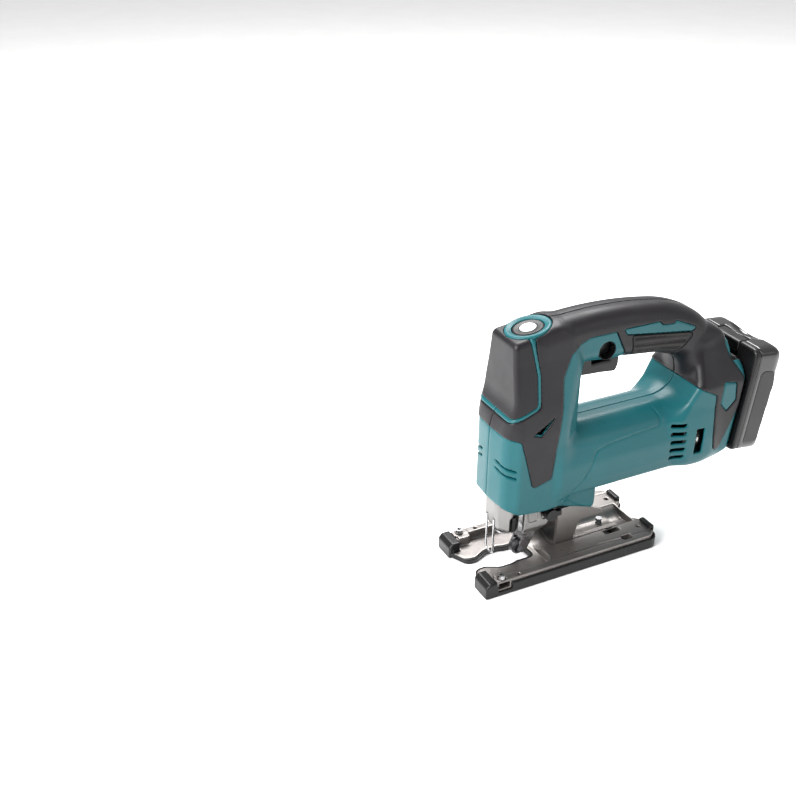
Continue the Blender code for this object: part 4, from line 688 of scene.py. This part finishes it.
# ---- gear housing nose ----------------------------------------------------------------------
def make_gear_housing():
    """The casting whose nose shows under the head."""
    grid = Grid((22, -18, 20), (95, 18, 150), MEDIUM_CELL)
    folded = np.abs(grid.y)
    side = [(28.3, 148, 2), (80.5, 148, 3), (80.5, 108, 0), (92.5, 104, 2), (92.5, 68, 4), (76, 64, 3),
            (72, 44, 3), (60, 27, 3), (44, 28, 3), (33, 37, 3), (24.2, 39, 2), (23, 64, 4), (25, 74, 3),
            (25, 120, 3), (28, 130, 3)]
    plan = mirrored([(6, 21, 2), (16, 32.5, 2), (16, 120, 0)])
    frame_body = both(grid.side(side), grid.plan(turned_over(plan)), 1.6)
    facet = folded * 0.80 + (40 - grid.z) * 0.60 - 15.5
    frame_body = both(frame_body, np.where(grid.z < 62, facet, -9.0), 0.8)
    window = grid.side([(28, 84, 2), (73, 84, 2), (73, 141, 2), (32, 141, 2), (28, 126, 2)])
    tools = [window, grid.rod(2, (PLUNGER_X, 0), 8.6) + np.where(grid.z < 60, 99, 0),
             np.maximum(grid.rod(2, (PLUNGER_X, 0), CLAMP_ROOM), grid.z - 66),
             grid.block((PLUNGER_X, -CLAMP_ROOM, 10), (50, CLAMP_ROOM, 66)),
             grid.block((49, -7.3, 10), (70, 7.3, 67)),
             grid.side([(32, 34, 0), (45, 20, 0), (45, 52, 4), (32, 52, 4)]),
             grid.rod(1, (60, 57), 2.8),
             np.maximum(grid.rod(0, (0, MOTOR_Z), 9.8), 85.2 - grid.x),
             np.maximum(grid.rod(0, (0, MOTOR_Z), 4.5), 70 - grid.x),
             np.maximum(grid.rod(0, (0, MOTOR_Z + 26), 4.3), 70 - grid.x),
             np.maximum(np.hypot(grid.x - GUARD_X, folded - 5) - 1.2, grid.z - 46.3)]
    for x in (39, 52, 64):
        rib = both(np.abs(grid.x - x - (50 - grid.z) * 0.15) - 4.2, np.abs(grid.z - 50) - 8.5, 2.0)
        tools.append(both(rib, 14.9 - folded, 0.5))
    for tool in tools:
        frame_body = without(frame_body, tool, 0.35)
    cast_piece("gear_housing_casting", grid, frame_body, BRIGHT, "tool", "cast_aluminium", "gear_housing")


# ---- turned and bent pieces -----------------------------------------------------------------
def lathe(name, profile, centre, axis, surface, body, slot, *nodes, segments=64, oval=1.0, tilt=0.0):
    """Turn an (out, along) profile round a point's y axis, or round its z axis leaned by the tilt."""
    bm = bmesh.new()
    rows = []
    for step in range(segments):
        angle = 2 * math.pi * step / segments
        rows.append([bm.verts.new((out * oval * math.cos(angle), out * math.sin(angle), along))
                     for out, along in profile])
    count = len(profile)
    for index, row in enumerate(rows):
        following = rows[(index + 1) % segments]
        for k in range(count):
            bm.faces.new((row[k], following[k], following[(k + 1) % count], row[(k + 1) % count]))
    turn = Matrix.Rotation(math.radians(90), 4, "X") if axis == "Y" else Matrix.Rotation(-tilt, 4, "Y")
    spot = Vector((centre[0] + FRONT, centre[1], centre[2])) * MM
    place = Matrix.Translation(spot) @ turn @ Matrix.Scale(MM, 4)
    bmesh.ops.transform(bm, matrix=place, verts=bm.verts)
    bmesh.ops.remove_doubles(bm, verts=bm.verts, dist=1e-7)
    bmesh.ops.recalc_face_normals(bm, faces=bm.faces)
    mesh = bpy.data.meshes.new(name)
    bm.to_mesh(mesh)
    bm.free()
    piece = bpy.data.objects.new(name, mesh)
    bpy.context.scene.collection.objects.link(piece)
    dress(piece, surface, body, slot, *nodes, sharp=40)


def turned(corners):
    """A closed lathe profile with filleted corners."""
    return rounded(corners, steps=4)


def make_button():
    """The oval ring on the head, with the power button and its disc."""
    centre = (BUTTON_X, 0, BUTTON_Z)
    ring = turned([(BUTTON_RADIUS + 0.3, -5, 0), (RING_RADIUS, -5, 0.3), (RING_RADIUS, 0.7, 1.0),
                   (RING_RADIUS - 1.6, 1.5, 1.2), (BUTTON_RADIUS + 0.3, 0.2, 0.5)])
    lathe("button_ring_trim", ring, centre, "Z", TEAL, "tool", "teal_plastic", "button_ring",
          segments=96, oval=OVAL, tilt=BUTTON_TILT)
    button = turned([(0.001, -9, 0), (BUTTON_RADIUS, -9, 0.3), (BUTTON_RADIUS, -0.3, 0.6),
                     (BUTTON_RADIUS - 1.2, 0.4, 0.8), (6.2, 0.2, 0.5), (5.9, -0.2, 0.2),
                     (0.001, -0.2, 0)])
    lathe("power_button_cap", button, centre, "Z", BLACK, "power_button", "black_plastic", "power_button",
          segments=96, oval=OVAL, tilt=BUTTON_TILT)
    disc = turned([(0.001, -0.15, 0), (5.6, -0.15, 0.1), (5.6, 0.45, 0.4), (0.001, 0.7, 0)])
    lathe("power_button_disc", disc, centre, "Z", WHITE, "power_button", "black_plastic", segments=64,
          oval=1.1, tilt=BUTTON_TILT)


def make_lock_painted_shade():
    """Painted shade: a black lining in the left end of the lock pin's hole, where the recess is dark only from
    shadow.
    """
    depth = 6.0
    inner, outer = LOCK_RADIUS + 0.08, LOCK_RADIUS + 0.32
    shade_profile = turned([(inner, 0, 0), (outer, 0, 0), (outer, depth, 0), (inner, depth, 0)])
    # painted shade: this black lining stands in for the shadow deep in the lock pin's hole
    lathe("lock_hole_painted_shade", shade_profile, (LOCK_X, -15.5 + depth, LOCK_Z), "Y", BLACK, "tool",
          "black_plastic")


def make_controls():
    """Trigger, lock pin and speed dial."""
    grid = Grid((85, -10.5, 151), (126, 10.5, 175), FINE_CELL)
    top = LOCK_Z - LOCK_RADIUS - GAP - TRIGGER_TRAVEL - GAP
    outline = [(87, 156, 2), (109, 154.5, 14), (122, 153, 3), (124, 159, 2), (124, top + 3, 1),
               (114.5, top + 3, 1), (114.5, top, 0), (99.5, top, 0), (99.5, 173.5, 1), (87, 173.5, 1)]
    trigger = both(grid.side(outline), np.abs(grid.y) - 9.0, 2.4)
    trigger = without(trigger, np.maximum(grid.rod(2, (SPRING_X, 0), SPRING_ROOM), SPRING_SEAT - grid.z))
    cast_piece("trigger_lever", grid, trigger, BLACK, "trigger", "black_plastic", "trigger")

    pin_low, pin_high = low("lock_pin", 1), high("lock_pin", 1)
    out = LOCK_RADIUS - 0.1
    profile = turned([(0.001, 0, 0), (out, 0, 0.8), (out, pin_high - pin_low, 0.8),
                      (0.001, pin_high - pin_low, 0)])
    lathe("lock_pin_button", profile, (LOCK_X, pin_high, LOCK_Z), "Y", BLACK, "lock_pin", "black_plastic",
          "lock_pin")

    teeth = 30
    width = high("speed_dial", 0) - low("speed_dial", 0)
    radius = (high("speed_dial", 2) - low("speed_dial", 2)) / 2
    dial_grid = Grid((DIAL_X - 4, DIAL_Y - 13, DIAL_Z - 13), (DIAL_X + 4, DIAL_Y + 13, DIAL_Z + 13),
                     DIAL_CELL)
    out = np.hypot(dial_grid.y - DIAL_Y, dial_grid.z - DIAL_Z)
    angle = np.arctan2(dial_grid.z - DIAL_Z, dial_grid.y - DIAL_Y)
    wheel = both(out - radius + 0.35 + 0.3 * np.cos(angle * teeth),
                 np.abs(dial_grid.x - DIAL_X) - width / 2, 0.5)
    wheel = np.maximum(wheel, 2.4 - out)
    cast_piece("speed_dial_wheel", dial_grid, wheel, BLACK, "speed_dial", "black_plastic", "speed_dial")
    mark = np.maximum(np.maximum(out - radius + 0.1, radius - 1.2 - out),
                      np.abs(dial_grid.x - DIAL_X) - 0.9)
    mark = np.maximum(mark, np.abs(dial_grid.z - DIAL_Z) - 2.0)
    mark = np.maximum(mark, dial_grid.y - DIAL_Y)
    cast_piece("speed_dial_mark", dial_grid, mark, WHITE, "speed_dial", "black_plastic")


def make_blade_end():
    """The guide roller and the wire in front of the blade."""
    roller_x, roller_z = middle("guide_roller", 0), middle("guide_roller", 2)
    half = (high("guide_roller", 1) - low("guide_roller", 1)) / 2
    radius = (high("guide_roller", 2) - low("guide_roller", 2)) / 2
    profile = turned([(2.3, 0, 0), (radius - 1.8, 0, 0.3), (radius - 0.05, 1.3, 0.4),
                      (radius - 0.05, half - 1.4, 0.3), (radius - 1.6, half - 0.4, 0.2),
                      (radius - 1.6, half + 0.4, 0.2), (radius - 0.05, half + 1.4, 0.3),
                      (radius - 0.05, 2 * half - 1.3, 0.4), (radius - 1.8, 2 * half, 0.3),
                      (2.3, 2 * half, 0)])
    lathe("guide_roller_wheel", profile, (roller_x, half, roller_z), "Y", DARK_STEEL, "guide_roller",
          "steel", "guide_roller")
    left_half = [(-5, 46), (-5, 17), (-4.3, 15), (-2.6, 13.8)]
    legs = left_half + [(0, 13.5)] + [(-y, z) for y, z in reversed(left_half)]
    curve = bpy.data.curves.new("blade_guard_wire", "CURVE")
    curve.dimensions = "3D"
    curve.bevel_depth = 0.9 * MM
    curve.bevel_resolution = 4
    curve.use_fill_caps = True
    spline = curve.splines.new("POLY")
    spline.points.add(len(legs) - 1)
    for point, (y, z) in zip(spline.points, legs):
        point.co = ((GUARD_X + FRONT) * MM, y * MM, z * MM, 1.0)
    guard = bpy.data.objects.new("blade_guard_wire", curve)
    bpy.context.scene.collection.objects.link(guard)
    dress(guard, STEEL, "tool", "steel", "guard_wire")


# ---- carried-over nodes ---------------------------------------------------------------------
def dress_nodes():
    """Give every CAD node that stays in view, or inside, its own finish."""
    darker = {"bevel_bracket": CAST, "counterweight": CAST}
    surfaces = {"teal_plastic": TEAL, "grey_rubber": RUBBER, "black_plastic": BLACK, "gloss_black": GLOSS,
                "cast_aluminium": BRIGHT, "steel": STEEL, "windings": COPPER, "cell_wrap": CELLS}
    slots = {part["node"]: part["material_slot"] for part in frame["record"]["subparts"]}
    for node, obj in frame["nodes"].items():
        surface = darker.get(node, surfaces[slots[node]])
        for holder in obj.material_slots:
            holder.material = surface
        if not obj.material_slots:
            obj.data.materials.append(surface)


def squeeze_spring():
    """Give the trigger's spring a mesh of its own."""
    spring = frame["nodes"]["trigger_spring"]
    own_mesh(spring)


# ---- stage, light and camera ----------------------------------------------------------------
def make_stage():
    """A pale floor under an even white sky."""
    made, nodes, links, shader = new_material("pale_floor")
    speck = noise(nodes, links, 14.0, 4.0)
    tint = ramp(nodes, links, speck.outputs["Fac"], (0.93, 0.93, 0.925), (0.96, 0.96, 0.955))
    links.new(tint.outputs["Color"], shader.inputs["Base Color"])
    shader.inputs["Roughness"].default_value = 0.7
    bpy.ops.mesh.primitive_plane_add(size=12.0, location=(0, 0, -0.0002))
    floor = bpy.context.object
    floor.name = "floor"
    floor.data.materials.append(made)
    world = bpy.data.worlds.new("studio")
    world.use_nodes = True
    world.node_tree.nodes["Background"].inputs["Color"].default_value = (1.0, 1.0, 1.0, 1.0)
    world.node_tree.nodes["Background"].inputs["Strength"].default_value = 0.85
    bpy.context.scene.world = world
    view = bpy.context.scene.view_settings
    view.view_transform = "Standard"
    view.exposure = -0.25


def softbox(name, spot, target, size, power):
    """A rectangular area light aimed at a point."""
    light = bpy.data.lights.new(name, "AREA")
    light.shape = "RECTANGLE"
    light.size, light.size_y = size
    light.energy = power
    lamp = bpy.data.objects.new(name, light)
    lamp.location = spot
    lamp.rotation_euler = (Vector(target) - Vector(spot)).to_track_quat("-Z", "Y").to_euler()
    bpy.context.scene.collection.objects.link(lamp)


def make_lights():
    softbox("key", (-1.2, -0.2, 0.9), (0, 0, 0.1), (0.8, 0.8), 44.0)
    softbox("top", (0.25, 0.7, 1.3), (0, 0, 0.1), (1.2, 0.8), 52.0)
    softbox("side", (0.9, -1.2, 0.7), (0, 0, 0.1), (0.7, 0.9), 4.0)


def make_camera():
    """The view: yaw, pitch and roll of the camera, its place and its lens."""
    yaw, pitch, roll = math.radians(26.6955), math.radians(28.7586), math.radians(0.5082)
    aim = Vector((math.sin(yaw) * math.cos(pitch), math.cos(yaw) * math.cos(pitch), -math.sin(pitch)))
    right = Vector((math.cos(yaw), -math.sin(yaw), 0))
    up = right.cross(aim)
    rolled = math.cos(roll) * right + math.sin(roll) * up
    upright = -math.sin(roll) * right + math.cos(roll) * up
    camera = bpy.data.cameras.new("camera")
    camera.lens = 52.18
    camera.sensor_width = 36.0
    camera.clip_start = 0.01
    holder = bpy.data.objects.new("camera", camera)
    holder.matrix_world = Matrix((
        (rolled.x, upright.x, -aim.x, FRONT * MM - 0.371146),
        (rolled.y, upright.y, -aim.y, -0.62619),
        (rolled.z, upright.z, -aim.z, 0.55120),
        (0, 0, 0, 1)))
    bpy.context.scene.collection.objects.link(holder)
    bpy.context.scene.camera = holder


make_camera()
make_stage()
make_lights()
make_housing()
make_battery()
make_base()
make_gear_housing()
make_button()
make_controls()
# painted shade lining in the lock pin's hole
make_lock_painted_shade()
make_blade_end()
dress_nodes()
squeeze_spring()
